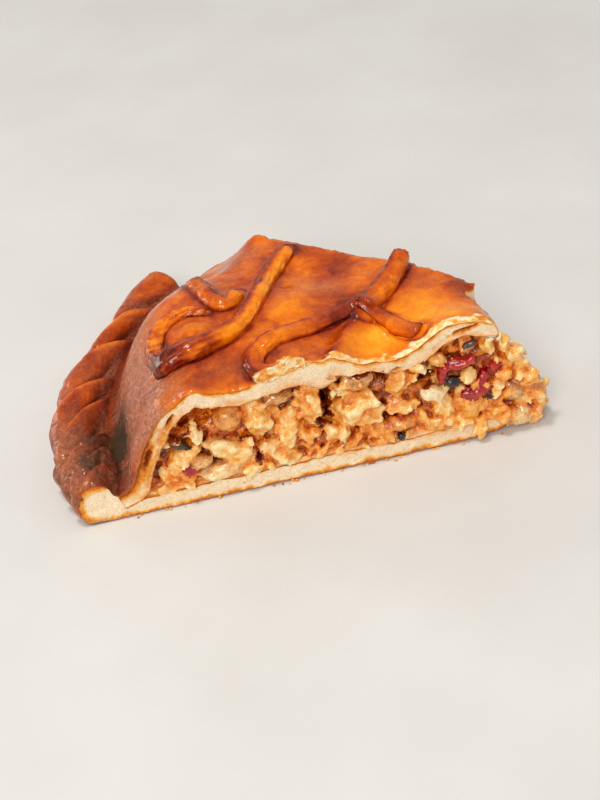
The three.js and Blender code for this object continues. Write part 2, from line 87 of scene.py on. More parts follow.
BACK_CUT_OUT = (BACK_CUT_RUN[1], -BACK_CUT_RUN[0])

BASE_THICKNESS = 6.6
BASE_THICKNESS_AT_RIM = 3.5
BASE_RIM_FADE = 9.0  # how far inside the valley the base thickens

# The angle of each fold's ridge at the valley and at the rim's outer side, in degrees.
FOLD_RIDGES = (
    (203, 208), (189, 197.5), (184, 193.8), (180, 190.3), (167.5, 186), (162, 175), (149, 162.7),
    (137.5, 155), (117, 123),
)
RIDGE_TURNS = (0.4, 2.9)  # the turns about the rim's section between which a ridge runs
FOLD_DROP = 0.16  # the share of a fold that is its steep side
FOLD_DEPTH = 3.6

LID_FOOT = 0.4
LID_THICKNESS = 6.2
LID_END_AT_FRONT = 138.0
LID_END_AT_BACK = 135.2
# The lid's height at each distance in from the valley.
LID_RISE: Table = (
    (0, 9.3), (3.9, 12.3), (6.8, 20.6), (12, 30.6), (16.3, 36.8), (22.3, 41.2), (29, 43), (40, 43.6),
)
LID_RISE_STRETCH_AT_BACK = 1.82
# The lid's height along the front cut.
LID_FRONT_EDGE: Table = (
    (34.5, 41.3), (40.9, 43.8), (47.7, 41.7), (55.8, 41), (64, 42.7), (71, 44), (77.8, 44.3), (84.4, 43),
    (92.4, 41.5), (97.3, 40.6), (104.8, 39.9), (108.5, 40.4), (112.8, 42.5), (117.3, 45.7), (122, 47.5),
    (127.4, 48.1), (133.1, 46.8), (136.9, 44), (139, 40),
)
FRONT_EDGE_FADE = 13.0
# How far the lid's torn blunt end stands out or draws back, along y.
LID_TEAR: Table = (
    (0, 0.2), (4, 0.7), (8, -0.2), (12, -1.0), (16, -2.3), (19, -3.6), (21, -2.9), (23.4, 1.4), (25, 1.7),
    (27, -0.6), (29, 0),
)
# x, y, rise and spread of each swell or hollow in the lid.
LID_SWELLS = (
    (45, 30.5, 2.6, 6.5), (71, 10, 1.8, 7), (78, 36, 1.6, 10), (90, 50, -1.8, 9), (118, 28, 1.6, 10),
    (60, 60, -1.4, 10), (54, 78, -7, 8), (62, 90, -4, 7), (76.5, 84, 3.6, 5.5),
)
LID_FOLD = ((99, 21), (84.5, -1))  # the run of the low fold near the front cut
LID_FOLD_FOOT = ((96.5, 19), (83.5, 0))  # the run of its darker side

# Each strand's arms: the route in plan, the radii at start, middle and end, and how far the end lifts.
STRAND_ARMS = {
    "strand_long": (
        (
            (
                (83.8, 67), (79, 60), (75.2, 53.8), (71.4, 46), (67.5, 38.4), (63.3, 30.5), (58, 25),
                (49, 21), (40, 18.3), (30.8, 16.6),
            ),
            (2.9, 3.3, 4.4), 1.0,
        ),
    ),
    "strand_crescent": (
        (
            ((36.4, 19), (33.8, 23.6), (33.2, 29.6), (35.2, 35.6), (39.4, 39.4), (45.4, 41), (51.8, 38.6)),
            (2.6, 3.1, 1.8), 0.0,
        ),
    ),
    "strand_hook": (
        (
            ((49.6, 61), (51.2, 56.3), (53.2, 49.4), (56, 42.2), (59.6, 41.2), (63.4, 46)),
            (3.3, 2.9, 2.7), 0.0,
        ),
    ),
    "strand_fork": (
        (
            (
                (76.5, -3.4), (71, -0.4), (64.6, 0.6), (61.6, 5), (63.4, 11), (70.5, 15.2), (82.4, 18.8),
                (93, 22), (99, 23.4), (104.6, 17.6), (109.2, 10.4), (114.6, 4.8),
            ),
            (3.1, 3.0, 2.8), 0.0,
        ),
        (((99.5, 20.8), (104.6, 26), (109.6, 31), (114.4, 36.6), (118.4, 42.8)), (4.6, 3.8, 2.6), 3.4),
    ),
}
SPILL_LEAN = 0.78  # how much further in the spilled filling ends for each step back
# How far along x the spilled filling reaches, for its height at the front cut.
SPILL_OUTLINE: Table = (
    (0, 146), (3, 149.2), (5, 152), (9.5, 153), (15.9, 152.3), (20.4, 150.5), (27.3, 147.4), (32.5, 142.7),
    (36, 137.5), (60, 128),
)


# ---- Numbers ----


def lerp(a: Array | float, b: Array | float, share: Array | float) -> Array:
    """A value the given share of the way from a to b."""
    return a + (b - a) * share


def smoothstep(value: Array | float, low: float, high: float) -> Array:
    """0 below low, 1 above high and a smooth rise between."""
    t = np.clip((value - low) / (high - low), 0.0, 1.0)
    return t * t * (3.0 - 2.0 * t)


def hump(away: Array | float) -> Array:
    """A soft bump: 1 where away is 0, fading out at about 2."""
    return np.exp(-np.square(away))


def parts(places: Array) -> tuple[Array, ...]:
    """The coordinates of points, one array for each axis."""
    return tuple(np.moveaxis(places, -1, 0))


def stack(*axes: Array | float) -> Array:
    """Coordinates put together, the new axis last."""
    return np.stack(np.broadcast_arrays(*[np.asarray(axis, float) for axis in axes]), axis=-1)


def read_table(table: Table, place: Array | float) -> Array:
    """A smooth reading of a table of (place, value) pairs.

    Args:
        table: Pairs in order of place.
        place: Where it is read.

    Returns:
        The value at each place.
    """
    at, value = np.array(table, float).T
    place = np.clip(place, at[0], at[-1])
    count = len(at)
    before = np.maximum(np.arange(count) - 1, 0)
    after = np.minimum(np.arange(count) + 1, count - 1)
    slope = (value[after] - value[before]) / (at[after] - at[before])
    low = np.clip(np.searchsorted(at, place, side="right") - 1, 0, count - 2)
    width = at[low + 1] - at[low]
    t = (place - at[low]) / width
    rise = value[low] * (1 + 2 * t) * (1 - t) ** 2 + value[low + 1] * t * t * (3 - 2 * t)
    return rise + width * t * (1 - t) * (slope[low] * (1 - t) - slope[low + 1] * t)


def blend_min(a: Array, b: Array, reach: float) -> Array:
    """The lower of two fields, with a fillet of the given reach where they meet."""
    h = np.maximum(reach - np.abs(a - b), 0.0) / reach
    return np.minimum(a, b) - h * h * reach * 0.25


@lru_cache(maxsize=64)
def value_table(seed: int) -> Array:
    """A table of repeatable random values between -1 and 1, 32 cells each way."""
    return np.random.default_rng(seed).random((32, 32, 32), dtype=np.float32) * 2 - 1


def grain(places: Array, cell: float | Sequence[float], seed: int) -> Array:
    """Smooth uneven values between about -1 and 1.

    Args:
        places: Points, their coordinates last.
        cell: The size of one lump, or one size for each axis.
        seed: Which of the repeatable patterns is read.

    Returns:
        One value for each point.
    """
    table = value_table(seed)
    scaled = (places / np.asarray(cell, np.float32)).astype(np.float32) + np.float32(seed % 17)
    low = np.floor(scaled)
    t = scaled - low
    t = t * t * t * (t * (t * 6 - 15) + 10)
    low = low.astype(np.int32)
    x0, y0, z0 = parts(low & 31)
    x1, y1, z1 = parts((low + 1) & 31)
    tx, ty, tz = parts(t)
    sides = []
    for z in (z0, z1):
        front = lerp(table[x0, y0, z], table[x1, y0, z], tx)
        back = lerp(table[x0, y1, z], table[x1, y1, z], tx)
        sides.append(lerp(front, back, ty))
    return lerp(sides[0], sides[1], tz)


def rough(places: Array, cell: float | Sequence[float], seed: int, octaves: int = 3) -> Array:
    """Uneven values with finer and finer lumps on them, between about -1 and 1.

    Args:
        places: Points, their coordinates last.
        cell: The size of the largest lumps, or one size for each axis.
        seed: Which of the repeatable patterns is read.
        octaves: How many sizes of lumps there are.

    Returns:
        One value for each point.
    """
    total = np.zeros(places.shape[:-1], np.float32)
    size = np.asarray(cell, np.float32)
    weight = 1.0
    for octave in range(octaves):
        total = total + weight * grain(places, size, seed + 7 * octave)
        size = size / 2.03
        weight *= 0.5
    return total / (2.0 - 2.0 * weight)


def pits(places: Array, cell: float, seed: int) -> tuple[Array, Array]:
    """The distance to the nearest of many scattered points, as a share of a cell, and that point's chance.

    Args:
        places: Points, their coordinates last.
        cell: The mean distance between the scattered points.
        seed: Which of the repeatable patterns is read.

    Returns:
        The distance to the nearest scattered point, and a random value that belongs to it.
    """
    jitter = np.random.default_rng(seed).random((32, 32, 32, 4), dtype=np.float32)
    scaled = places / cell
    low = np.floor(scaled).astype(np.int32)
    best = np.full(places.shape[:-1], 9.0, np.float32)
    chance = np.zeros(places.shape[:-1], np.float32)
    for dx in (-1, 0, 1):
        for dy in (-1, 0, 1):
            for dz in (-1, 0, 1):
                cell_at = low + np.array([dx, dy, dz])
                found = jitter[parts(cell_at & 31)]
                away = np.linalg.norm(cell_at + found[..., :3] - scaled, axis=-1)
                nearer = away < best
                best = np.where(nearer, away, best)
                chance = np.where(nearer, found[..., 3], chance)
    return best, chance


# ---- The plan and the surfaces that the solids share ----


def swell(x: Array, y: Array) -> Array:
    """A slow, uneven swell.

    Args:
        x: Plan x of each point.
        y: Plan y of each point.

    Returns:
        Values between about -1 and 1.
    """
    return (
        0.45 * np.sin(0.093 * x + 0.051 * y + 0.7)
        + 0.33 * np.sin(-0.061 * x + 0.147 * y + 2.1)
        + 0.22 * np.sin(0.211 * x - 0.173 * y + 4.4)
    )


def front_angle(radius: Array | float) -> Array:
    """The angle about the rim's centre at which a circle meets the front cut."""
    return math.pi + np.arcsin(RIM_CENTRE[1] / radius)


def back_angle(radius: Array | float) -> Array:
    """The angle about the rim's centre at which a circle meets the back cut.

    Args:
        radius: The circle's radius.

    Returns:
        The angle.
    """
    to_end = (BACK_CUT_END[0] - RIM_CENTRE[0], BACK_CUT_END[1] - RIM_CENTRE[1])
    along = to_end[0] * BACK_CUT_RUN[0] + to_end[1] * BACK_CUT_RUN[1]
    reach = -along + np.sqrt(along**2 + np.square(radius) - to_end[0] ** 2 - to_end[1] ** 2)
    return np.arctan2(to_end[1] + reach * BACK_CUT_RUN[1], to_end[0] + reach * BACK_CUT_RUN[0])


def back_cut_y(x: Array | float) -> Array:
    """Where the back cut lies at this x."""
    return BACK_CUT_END[1] + (x - BACK_CUT_END[0]) * math.tan(BACK_CUT_ANGLE)


def behind_back_cut(x: Array, y: Array) -> Array:
    """How far a plan point lies inside the back cut's plane."""
    return (BACK_CUT_END[0] - x) * BACK_CUT_OUT[0] + (BACK_CUT_END[1] - y) * BACK_CUT_OUT[1]


def angle_of(x: Array, y: Array) -> Array:
    """The angle about the rim's centre, growing from the back cut to the front."""
    return np.arctan2(y - RIM_CENTRE[1], x - RIM_CENTRE[0]) % (2 * math.pi)


def valley_radius(angle: Array) -> Array:
    """The radius of the valley between rim and lid, wider where the rim is pinched at the front.

    Args:
        angle: The angle about the rim's centre.

    Returns:
        The radius.
    """
    from_front = (front_angle(VALLEY_RADIUS_AT_FRONT) - angle) / PINCH_SPREAD
    pinch = np.where(from_front < 0, 1.0, hump(from_front))
    return lerp(VALLEY_RADIUS, VALLEY_RADIUS_AT_FRONT, pinch)


def distance_inside(x: Array, y: Array) -> Array:
    """How far a plan point lies in from the valley."""
    return valley_radius(angle_of(x, y)) - np.hypot(x - RIM_CENTRE[0], y - RIM_CENTRE[1])


def plan_point(
    outwards: float,
    along: Array,
    across: Array,
    end_front: float = FRONT_CUT_END,
    end_back: float = FRONT_CUT_END,
) -> tuple[Array, Array]:
    """A plan point between the cuts.

    Args:
        outwards: How far the starting arc lies out from the valley.
        along: 0 on that arc, 1 at the blunt end.
        across: 0 at the front cut, 1 at the back cut.
        end_front: Where the blunt end lies at the front cut.
        end_back: Where the blunt end lies at the back cut.

    Returns:
        x and y.
    """
    angle_at_front = front_angle(VALLEY_RADIUS_AT_FRONT + outwards)
    angle = lerp(angle_at_front, back_angle(VALLEY_RADIUS + outwards), across)
    radius = valley_radius(angle) + outwards
    start_x = RIM_CENTRE[0] + radius * np.cos(angle)
    start_y = RIM_CENTRE[1] + radius * np.sin(angle)
    return (
        lerp(start_x, lerp(end_front, end_back, across), along),
        lerp(start_y, back_cut_y(end_back) * across, along),
    )


def base_height(x: Array, y: Array) -> Array:
    """The height of the base sheet's upper face."""
    grown = smoothstep(distance_inside(x, y), -2.0, BASE_RIM_FADE)
    return lerp(BASE_THICKNESS_AT_RIM, BASE_THICKNESS, grown) + 0.5 * swell(1.7 * x, 1.7 * y) * grown


def distance_to_run(x: Array, y: Array, start: Sequence[float], end: Sequence[float]) -> Array:
    """How far plan points lie from a straight run.

    Args:
        x: Their x.
        y: Their y.
        start: Where the run starts.
        end: Where it ends.

    Returns:
        The distances.
    """
    run = (end[0] - start[0], end[1] - start[1])
    share = ((x - start[0]) * run[0] + (y - start[1]) * run[1]) / (run[0] ** 2 + run[1] ** 2)
    share = np.clip(share, 0, 1)
    return np.hypot(x - start[0] - share * run[0], y - start[1] - share * run[1])


def lid_height(x: Array, y: Array) -> Array:
    """The height of the lid's upper face.

    Args:
        x: Plan x of each point.
        y: Plan y of each point.

    Returns:
        The heights.
    """
    stretch = lerp(LID_RISE_STRETCH_AT_BACK, 1.0, smoothstep(angle_of(x, y), 2.27, 3.0))
    height = read_table(LID_RISE, distance_inside(x, y) / stretch)
    on_top = smoothstep(height, 20.0, 41.0)
    for at_x, at_y, rise, spread in LID_SWELLS:
        height = height + rise * hump(np.hypot(x - at_x, y - at_y) / spread) * on_top
    height = height + 0.8 * swell(x, y) * on_top
    at_edge = hump(y / FRONT_EDGE_FADE) * smoothstep(x, 32.0, 40.0)
    height = lerp(height, read_table(LID_FRONT_EDGE, x), at_edge)
    height = height + 2.6 * hump(distance_to_run(x, y, *LID_FOLD) / 3.4)
    end_droop = smoothstep(x, LID_END_AT_BACK - 5, LID_END_AT_BACK + 1.5) * smoothstep(y, 2.0, 10.0)
    return height - 1.2 * end_droop


def lid_normal(x: Array, y: Array) -> Array:
    """The way the lid's upper face looks.

    Args:
        x: Plan x of each point.
        y: Plan y of each point.

    Returns:
        Directions of length 1.
    """
    step = 0.5
    slope_x = (lid_height(x + step, y) - lid_height(x - step, y)) / (2 * step)
    slope_y = (lid_height(x, y + step) - lid_height(x, y - step)) / (2 * step)
    normal = stack(-slope_x, -slope_y, np.ones_like(slope_x))
    return normal / np.linalg.norm(normal, axis=-1, keepdims=True)


def lid_thickness(x: Array, y: Array) -> Array:
    """How thick the lid is: doughy over the middle of the front cut, thin beside it.

    Args:
        x: Plan x of each point.
        y: Plan y of each point.

    Returns:
        The thickness.
    """
    near_front = hump(y / 14.0)
    doughy = 4.0 * hump((x - 81.5) / 6.0) * near_front
    thin = 1.3 * hump((x - 96.0) / 6.0) * near_front
    return LID_THICKNESS + doughy - thin + 0.5 * swell(2.3 * y, 1.9 * x)


def lid_underside(x: Array, y: Array) -> Array:
    """The height of the lid's lower face straight below a plan point, near enough."""
    drop = lid_thickness(x, y) / np.maximum(lid_normal(x, y)[..., 2], 0.35)
    return np.maximum(lid_height(x, y) - drop, base_height(x, y) + 0.3)


def room(x: float, y: float) -> tuple[float, float]:
    """The heights of the base's upper face and of the lid's lower face at one plan point."""
    return float(base_height(np.array(x), np.array(y))), float(lid_underside(np.array(x), np.array(y)))


# ---- Where the strands lie ----


def catmull(route: Array, count: int) -> Array:
    """Evenly spaced points on a smooth curve through a route.

    Args:
        route: The points it goes through.
        count: How many points come back.

    Returns:
        The points.
    """
    padded = np.vstack([2 * route[0] - route[1], route, 2 * route[-1] - route[-2]])
    pieces = []
    for k in range(1, len(padded) - 2):
        p0, p1, p2, p3 = padded[k - 1 : k + 3]
        t = np.linspace(0, 1, 24, endpoint=False)[:, None]
        square, cube = 2 * p0 - 5 * p1 + 4 * p2 - p3, 3 * p1 - p0 - 3 * p2 + p3
        pieces.append(0.5 * (2 * p1 + (p2 - p0) * t + square * t**2 + cube * t**3))
    dense = np.vstack(pieces + [padded[-2][None]])
    run = np.concatenate([[0], np.cumsum(np.linalg.norm(np.diff(dense, axis=0), axis=1))])
    even = np.linspace(0, run[-1], count)
    return np.stack([np.interp(even, run, dense[:, k]) for k in range(dense.shape[1])], -1)


def radius_along(radii: tuple[float, float, float], share: Array) -> Array:
    """A strand's radius at a share of its length."""
    start, middle, end = radii
    return np.where(share < 0.5, lerp(start, middle, 2 * share), lerp(middle, end, 2 * share - 1))


def gap_to_strands(x: Array, y: Array, count: int = 90) -> Array:
    """How far plan points lie outside the nearest strand's side, negative under it.

    Args:
        x: Their x.
        y: Their y.
        count: How many places are tried along each arm.

    Returns:
        The distances.
    """
    nearest = np.full(x.shape, 50.0)
    for arms in STRAND_ARMS.values():
        for route, radii, _ in arms:
            points = catmull(np.array(route, float), count)
            sides = radius_along(radii, np.linspace(0, 1, count))
            for (at_x, at_y), side in zip(points, sides):
                nearest = np.minimum(nearest, np.hypot(x - at_x, y - at_y) - side)
    return nearest


# ---- Meshes ----


@dataclass
class Shape:
    """A mesh in the making.

    Attributes:
        places: Vertex places in plan millimetres.
        faces: Vertex numbers of each face.
        values: Named values, one a vertex.
        slots: Which material each face takes, if there are several.
    """

    places: Array
    faces: list[Sequence[int]]
    values: dict[str, Array] = field(default_factory=dict)
    slots: Array | None = None

    def compact(self) -> Shape:
        """Leaves out the vertices that no face uses.

        Returns:
            The same shape without them.
        """
        used = np.zeros(len(self.places), bool)
        for face in self.faces:
            used[list(face)] = True
        number = np.cumsum(used) - 1
        faces = [[int(number[v]) for v in face] for face in self.faces]
        values = {name: value[used] for name, value in self.values.items()}
        return Shape(self.places[used], faces, values, self.slots)

    def to_object(self, name: str, materials: Sequence[bpy.types.Material]) -> bpy.types.Object:
        """Makes the Blender object, in metres in the shared frame.

        Args:
            name: The piece's name.
            materials: Its materials, in the order that slots gives.

        Returns:
            The new object, linked to the scene.
        """
        mesh = bpy.data.meshes.new(name)
        placed = (self.places - np.array(PIECE_MIDDLE)) * MM
        mesh.from_pydata(placed.tolist(), [], self.faces)
        for label, value in self.values.items():
            layer = mesh.attributes.new(label, "FLOAT", "POINT")
            layer.data.foreach_set("value", np.ascontiguousarray(value, np.float32))
        mesh.shade_smooth()
        for material in materials:
            mesh.materials.append(material)
        if self.slots is not None:
            mesh.polygons.foreach_set("material_index", np.ascontiguousarray(self.slots, np.int32))
        mesh.validate()
        piece = bpy.data.objects.new(name, mesh)
        bpy.context.scene.collection.objects.link(piece)
        return piece


def grid_faces(number: Array, stride: int = 1, flip: bool = False) -> list[list[int]]:
    """Faces over a grid of vertices, coarse inside if wanted, with every vertex of its edges kept.

    Args:
        number: The grid's vertex numbers.
        stride: How many cells one inner face spans each way.
        flip: True for faces that look down when the grid's axes are x and y.

    Returns:
        The faces.
    """
    rows, columns = number.shape[0] - 1, number.shape[1] - 1
    if stride == 1:
        corners = [number[:-1, :-1], number[1:, :-1], number[1:, 1:], number[:-1, 1:]]
        quads = np.stack(corners, -1).reshape(-1, 4)
        return (quads[:, ::-1] if flip else quads).tolist()
    rows_at = sorted(set(range(0, rows, stride)) | {rows})
    columns_at = sorted(set(range(0, columns, stride)) | {columns})
    faces = []
    for i0, i1 in zip(rows_at, rows_at[1:]):
        for j0, j1 in zip(columns_at, columns_at[1:]):
            low = list(range(i0, i1)) if j0 == 0 else [i0]
            right = list(range(j0, j1)) if i1 == rows else [j0]
            high = list(range(i1, i0, -1)) if j1 == columns else [i1]
            left = list(range(j1, j0, -1)) if i0 == 0 else [j1]
            face = [int(number[i, j0]) for i in low] + [int(number[i1, j]) for j in right]
            face += [int(number[i, j1]) for i in high] + [int(number[i0, j]) for j in left]
            faces.append(face[::-1] if flip else face)
    return faces


def ring_faces(rings: Array, skip: Array | None = None) -> list[list[int]]:
    """Faces between closed rings of vertices, the first ring on top, run the way x turns to y.

    Args:
        rings: Vertex numbers, one row a ring.
        skip: True for each step along a ring that gets no faces.

    Returns:
        The faces.
    """
    ahead = np.roll(rings, -1, axis=1)
    quads = np.stack([rings[1:], ahead[1:], ahead[:-1], rings[:-1]], -1)
    if skip is not None:
        quads = quads[:, ~skip]
    return quads.reshape(-1, 4).tolist()


@dataclass
class Slab:
    """A sheet of dough with fine edges: an upper and a lower grid, and layers up its edges.

    Attributes:
        top: The upper grid of places, first along and then across.
        bottom: The lower grid.
        layers: How many steps there are up an edge.
    """

    top: Array
    bottom: Array
    layers: int

    def ring(self) -> Array:
        """Walks once round the grid's edge, the way x turns to y.

        Returns:
            The grid places there, as pairs of along and across.
        """
        n, m = self.top.shape[0] - 1, self.top.shape[1] - 1
        front = [(i, 0) for i in range(n)]
        end = [(n, j) for j in range(m)]
        back = [(i, m) for i in range(n, 0, -1)]
        start = [(0, j) for j in range(m, 0, -1)]
        return np.array(front + end + back + start)

    def edge(self) -> Edge:
        """Numbers and places every vertex.

        Returns:
            The slab's edge, with the numbers of both grids.
        """
        n, m = self.top.shape[:2]
        top = np.arange(n * m).reshape(n, m)
        bottom = top + n * m
        ring = self.ring()
        on_ring = (ring[:, 0], ring[:, 1])
        between = 2 * n * m + np.arange((self.layers - 1) * len(ring)).reshape(self.layers - 1, len(ring))
        rings = np.vstack([top[on_ring][None], between, bottom[on_ring][None]])
        high, low = self.top[on_ring], self.bottom[on_ring]
        share = np.arange(1, self.layers)[:, None] / self.layers
        layers = high[None] + (low - high)[None] * share[..., None]
        places = np.vstack([part.reshape(-1, 3) for part in (self.top, self.bottom, layers)])
        out = np.zeros((len(ring), 2))
        out[ring[:, 0] == n - 1] = (1, 0)
        out[ring[:, 1] == 0] = (0, -1)
        out[ring[:, 1] == m - 1] = BACK_CUT_OUT
        depth = np.linalg.norm(high - low, axis=1)[None]
        return Edge(top, bottom, rings, ring, places, out, share, share * depth, (1 - share) * depth)


@dataclass
class Edge:
    """The faces up a slab's edge, in layers, with a column at each grid place round it.

    Attributes:
        top: Vertex numbers of the upper grid.
        bottom: Vertex numbers of the lower grid.
        rings: Vertex numbers of each layer, from the upper grid's edge to the lower grid's.
        ring: Each column's place in the grid, along and across.
        places: Every vertex place of the slab.
        out: The way each column looks, in plan.
        share: How far down each layer between the grids lies, 0 to 1.
        from_top: How far each vertex of those layers lies below the upper grid.
        from_bottom: How far it lies above the lower grid.
    """

    top: Array
    bottom: Array
    rings: Array
    ring: Array
    places: Array
    out: Array
    share: Array
    from_top: Array
    from_bottom: Array

    @property
    def between(self) -> Array:
        """Vertex numbers of the layers between the two grids."""
        return self.rings[1:-1]

    def sink(self, depth: Array) -> None:
        """Moves the layers between the grids in from the cut by the given depths."""
        for axis in (0, 1):
            self.places[self.between, axis] -= depth * self.out[None, :, axis]

    def crumb(self) -> Array:
        """How far the open crumb of the dough sinks each vertex of those layers."""
        nearest = np.minimum(self.from_top, self.from_bottom)
        return crumb_pits(self.places[self.between]) * smoothstep(nearest, 0.0, 0.9)


# ---- Materials ----


Colour = tuple[float, float, float, float]
Socket = bpy.types.NodeSocket
CRUST_VALUES = ("cut", "rind", "stain", "bake", "char", "matt_and_sheen")


def tint(red: int, green: int, blue: int) -> Colour:
    """A colour in the values that shaders take.

    Args:
        red: Its red, 0 to 255, as a paint chart gives it.
        green: Its green.
        blue: Its blue.

    Returns:
        Red, green, blue and an opacity of 1.
    """
    shares = [part / 255.0 for part in (red, green, blue)]
    linear = [p / 12.92 if p <= 0.04045 else ((p + 0.055) / 1.055) ** 2.4 for p in shares]
    return (linear[0], linear[1], linear[2], 1.0)


class Recipe:
    """The nodes of one material, laid out call by call."""

    def __init__(self, name: str) -> None:
        """Starts a material with one shader and object coordinates in millimetres.

        Args:
            name: The material's name.
        """
        self.material = bpy.data.materials.new(name)
        self.material.use_nodes = True
        self.tree = self.material.node_tree
        self.shader = self.tree.nodes["Principled BSDF"]
        coordinates = self.tree.nodes.new("ShaderNodeTexCoord")
        mapping = self.tree.nodes.new("ShaderNodeMapping")
        mapping.inputs["Scale"].default_value = (1 / MM, 1 / MM, 1 / MM)
        self.tree.links.new(coordinates.outputs["Object"], mapping.inputs["Vector"])
        self.place: Socket = mapping.outputs["Vector"]

    def _feed(self, socket: Socket, value: Socket | float | Colour | tuple) -> None:
        """Links a socket to a socket, or sets its own value.

        Args:
            socket: The socket that is fed.
            value: What it is fed.
        """
        if isinstance(value, bpy.types.NodeSocket):
            self.tree.links.new(value, socket)
        else:
            socket.default_value = value

    def attribute(self, name: str) -> Socket:
        """A named value of the mesh.

        Args:
            name: Its name.

        Returns:
            The value.
        """
        node = self.tree.nodes.new("ShaderNodeAttribute")
        node.attribute_name = name
        return node.outputs["Fac"]

    def noise(
        self, cell: float, detail: float = 3.0, warp: float = 0.0, stretch: tuple | None = None
    ) -> Socket:
        """An uneven pattern.

        Args:
            cell: The size of one lump in millimetres.
            detail: How many finer sizes are laid on it.
            warp: How far it is twisted.
            stretch: How many times longer the lumps are along x, y and z.

        Returns:
            The pattern, between 0 and 1.
        """
        node = self.tree.nodes.new("ShaderNodeTexNoise")
        node.inputs["Scale"].default_value = 1.0 / cell
        node.inputs["Detail"].default_value = detail
        node.inputs["Distortion"].default_value = warp
        place = self.place
        if stretch is not None:
            mapping = self.tree.nodes.new("ShaderNodeMapping")
            mapping.inputs["Scale"].default_value = tuple(1.0 / s for s in stretch)
            self.tree.links.new(self.place, mapping.inputs["Vector"])
            place = mapping.outputs["Vector"]
        self.tree.links.new(place, node.inputs["Vector"])
        return node.outputs["Fac"]

    def pores(self, cell: float, smooth: bool = True) -> Socket:
        """The distance to the nearest of many scattered points.

        Args:
            cell: How far apart the points lie, in millimetres.
            smooth: True for a soft change from one point to the next.

        Returns:
            The distance, as a share of a cell.
        """
        node = self.tree.nodes.new("ShaderNodeTexVoronoi")
        node.feature = "SMOOTH_F1" if smooth else "F1"
        node.inputs["Scale"].default_value = 1.0 / cell
        self.tree.links.new(self.place, node.inputs["Vector"])
        return node.outputs["Distance"]

    def spread(
        self, value: Socket, low: float, high: float, to_low: float = 0.0, to_high: float = 1.0
    ) -> Socket:
        """A value stretched from one range to another, smooth at both ends.

        Args:
            value: The value.
            low: Where its own range starts.
            high: Where its own range ends.
            to_low: Where the new range starts.
            to_high: Where the new range ends.

        Returns:
            The new value.
        """
        node = self.tree.nodes.new("ShaderNodeMapRange")
        node.interpolation_type = "SMOOTHSTEP"
        for label, amount in zip(("From Min", "From Max", "To Min", "To Max"), (low, high, to_low, to_high)):
            node.inputs[label].default_value = amount
        self._feed(node.inputs["Value"], value)
        return node.outputs["Result"]

    def _sum(self, operation: str, a: Socket | float, b: Socket | float) -> Socket:
        """A sum on two values.

        Args:
            operation: The math node's name for it.
            a: The first value.
            b: The second value.

        Returns:
            The outcome.
        """
        node = self.tree.nodes.new("ShaderNodeMath")
        node.operation = operation
        self._feed(node.inputs[0], a)
        self._feed(node.inputs[1], b)
        return node.outputs[0]

    def add(self, a: Socket | float, b: Socket | float) -> Socket:
        """Two values added up."""
        return self._sum("ADD", a, b)

    def times(self, a: Socket | float, b: Socket | float) -> Socket:
        """One value times another."""
        return self._sum("MULTIPLY", a, b)

    def most(self, a: Socket | float, b: Socket | float) -> Socket:
        """The higher of two values."""
        return self._sum("MAXIMUM", a, b)

    def vary(self, value: Socket, pattern: Socket, amount: float) -> Socket:
        """A value raised and lowered by a pattern that runs from 0 to 1."""
        return self.add(value, self.times(self._sum("SUBTRACT", pattern, 0.5), amount))

    def mix(self, share: Socket | float, a: Socket | Colour, b: Socket | Colour) -> Socket:
        """Two colours mixed.

        Args:
            share: The second colour's share.
            a: The first colour.
            b: The second colour.

        Returns:
            The mixed colour.
        """
        node = self.tree.nodes.new("ShaderNodeMix")
        node.data_type = "RGBA"
        self._feed(node.inputs[0], share)
        self._feed(node.inputs[6], a)
        self._feed(node.inputs[7], b)
        return node.outputs[2]

    def ramp(self, value: Socket, stops: Sequence[tuple[float, Colour]]) -> Socket:
        """A colour read from a scale of colours.

        Args:
            value: Where on the scale it is read.
            stops: The scale's places and colours.

        Returns:
            The colour.
        """
        node = self.tree.nodes.new("ShaderNodeValToRGB")
        elements = node.color_ramp.elements
        while len(elements) < len(stops):
            elements.new(0.5)
        for element, (at, colour) in zip(elements, stops):
            element.position = at
            element.color = colour
        self._feed(node.inputs[0], value)
        return node.outputs[0]

    def bump(self, height: Socket, depth: float, under: Socket | None = None) -> Socket:
        """A relief in the surface.

        Args:
            height: The relief, 0 to 1.
            depth: Its depth in millimetres.
            under: A relief that it lies on.

        Returns:
            The surface's new normal.
        """
        node = self.tree.nodes.new("ShaderNodeBump")
        node.inputs["Distance"].default_value = depth * MM
        node.inputs["Strength"].default_value = 1.0
        self.tree.links.new(height, node.inputs["Height"])
        if under is not None:
            self.tree.links.new(under, node.inputs["Normal"])
        return node.outputs["Normal"]

    def finish(
        self, colour: Socket, roughness: Socket | float, normal: Socket, **others: float | Colour | tuple
    ) -> None:
        """Joins the results to the shader.

        Args:
            colour: The base colour.
            roughness: The roughness.
            normal: The surface's relief.
            **others: Constant values of the shader's other sockets, spaces as underscores.
        """
        self.tree.links.new(colour, self.shader.inputs["Base Color"])
        self._feed(self.shader.inputs["Roughness"], roughness)
        self.tree.links.new(normal, self.shader.inputs["Normal"])
        for label, value in others.items():
            self.shader.inputs[label.replace("_", " ")].default_value = value


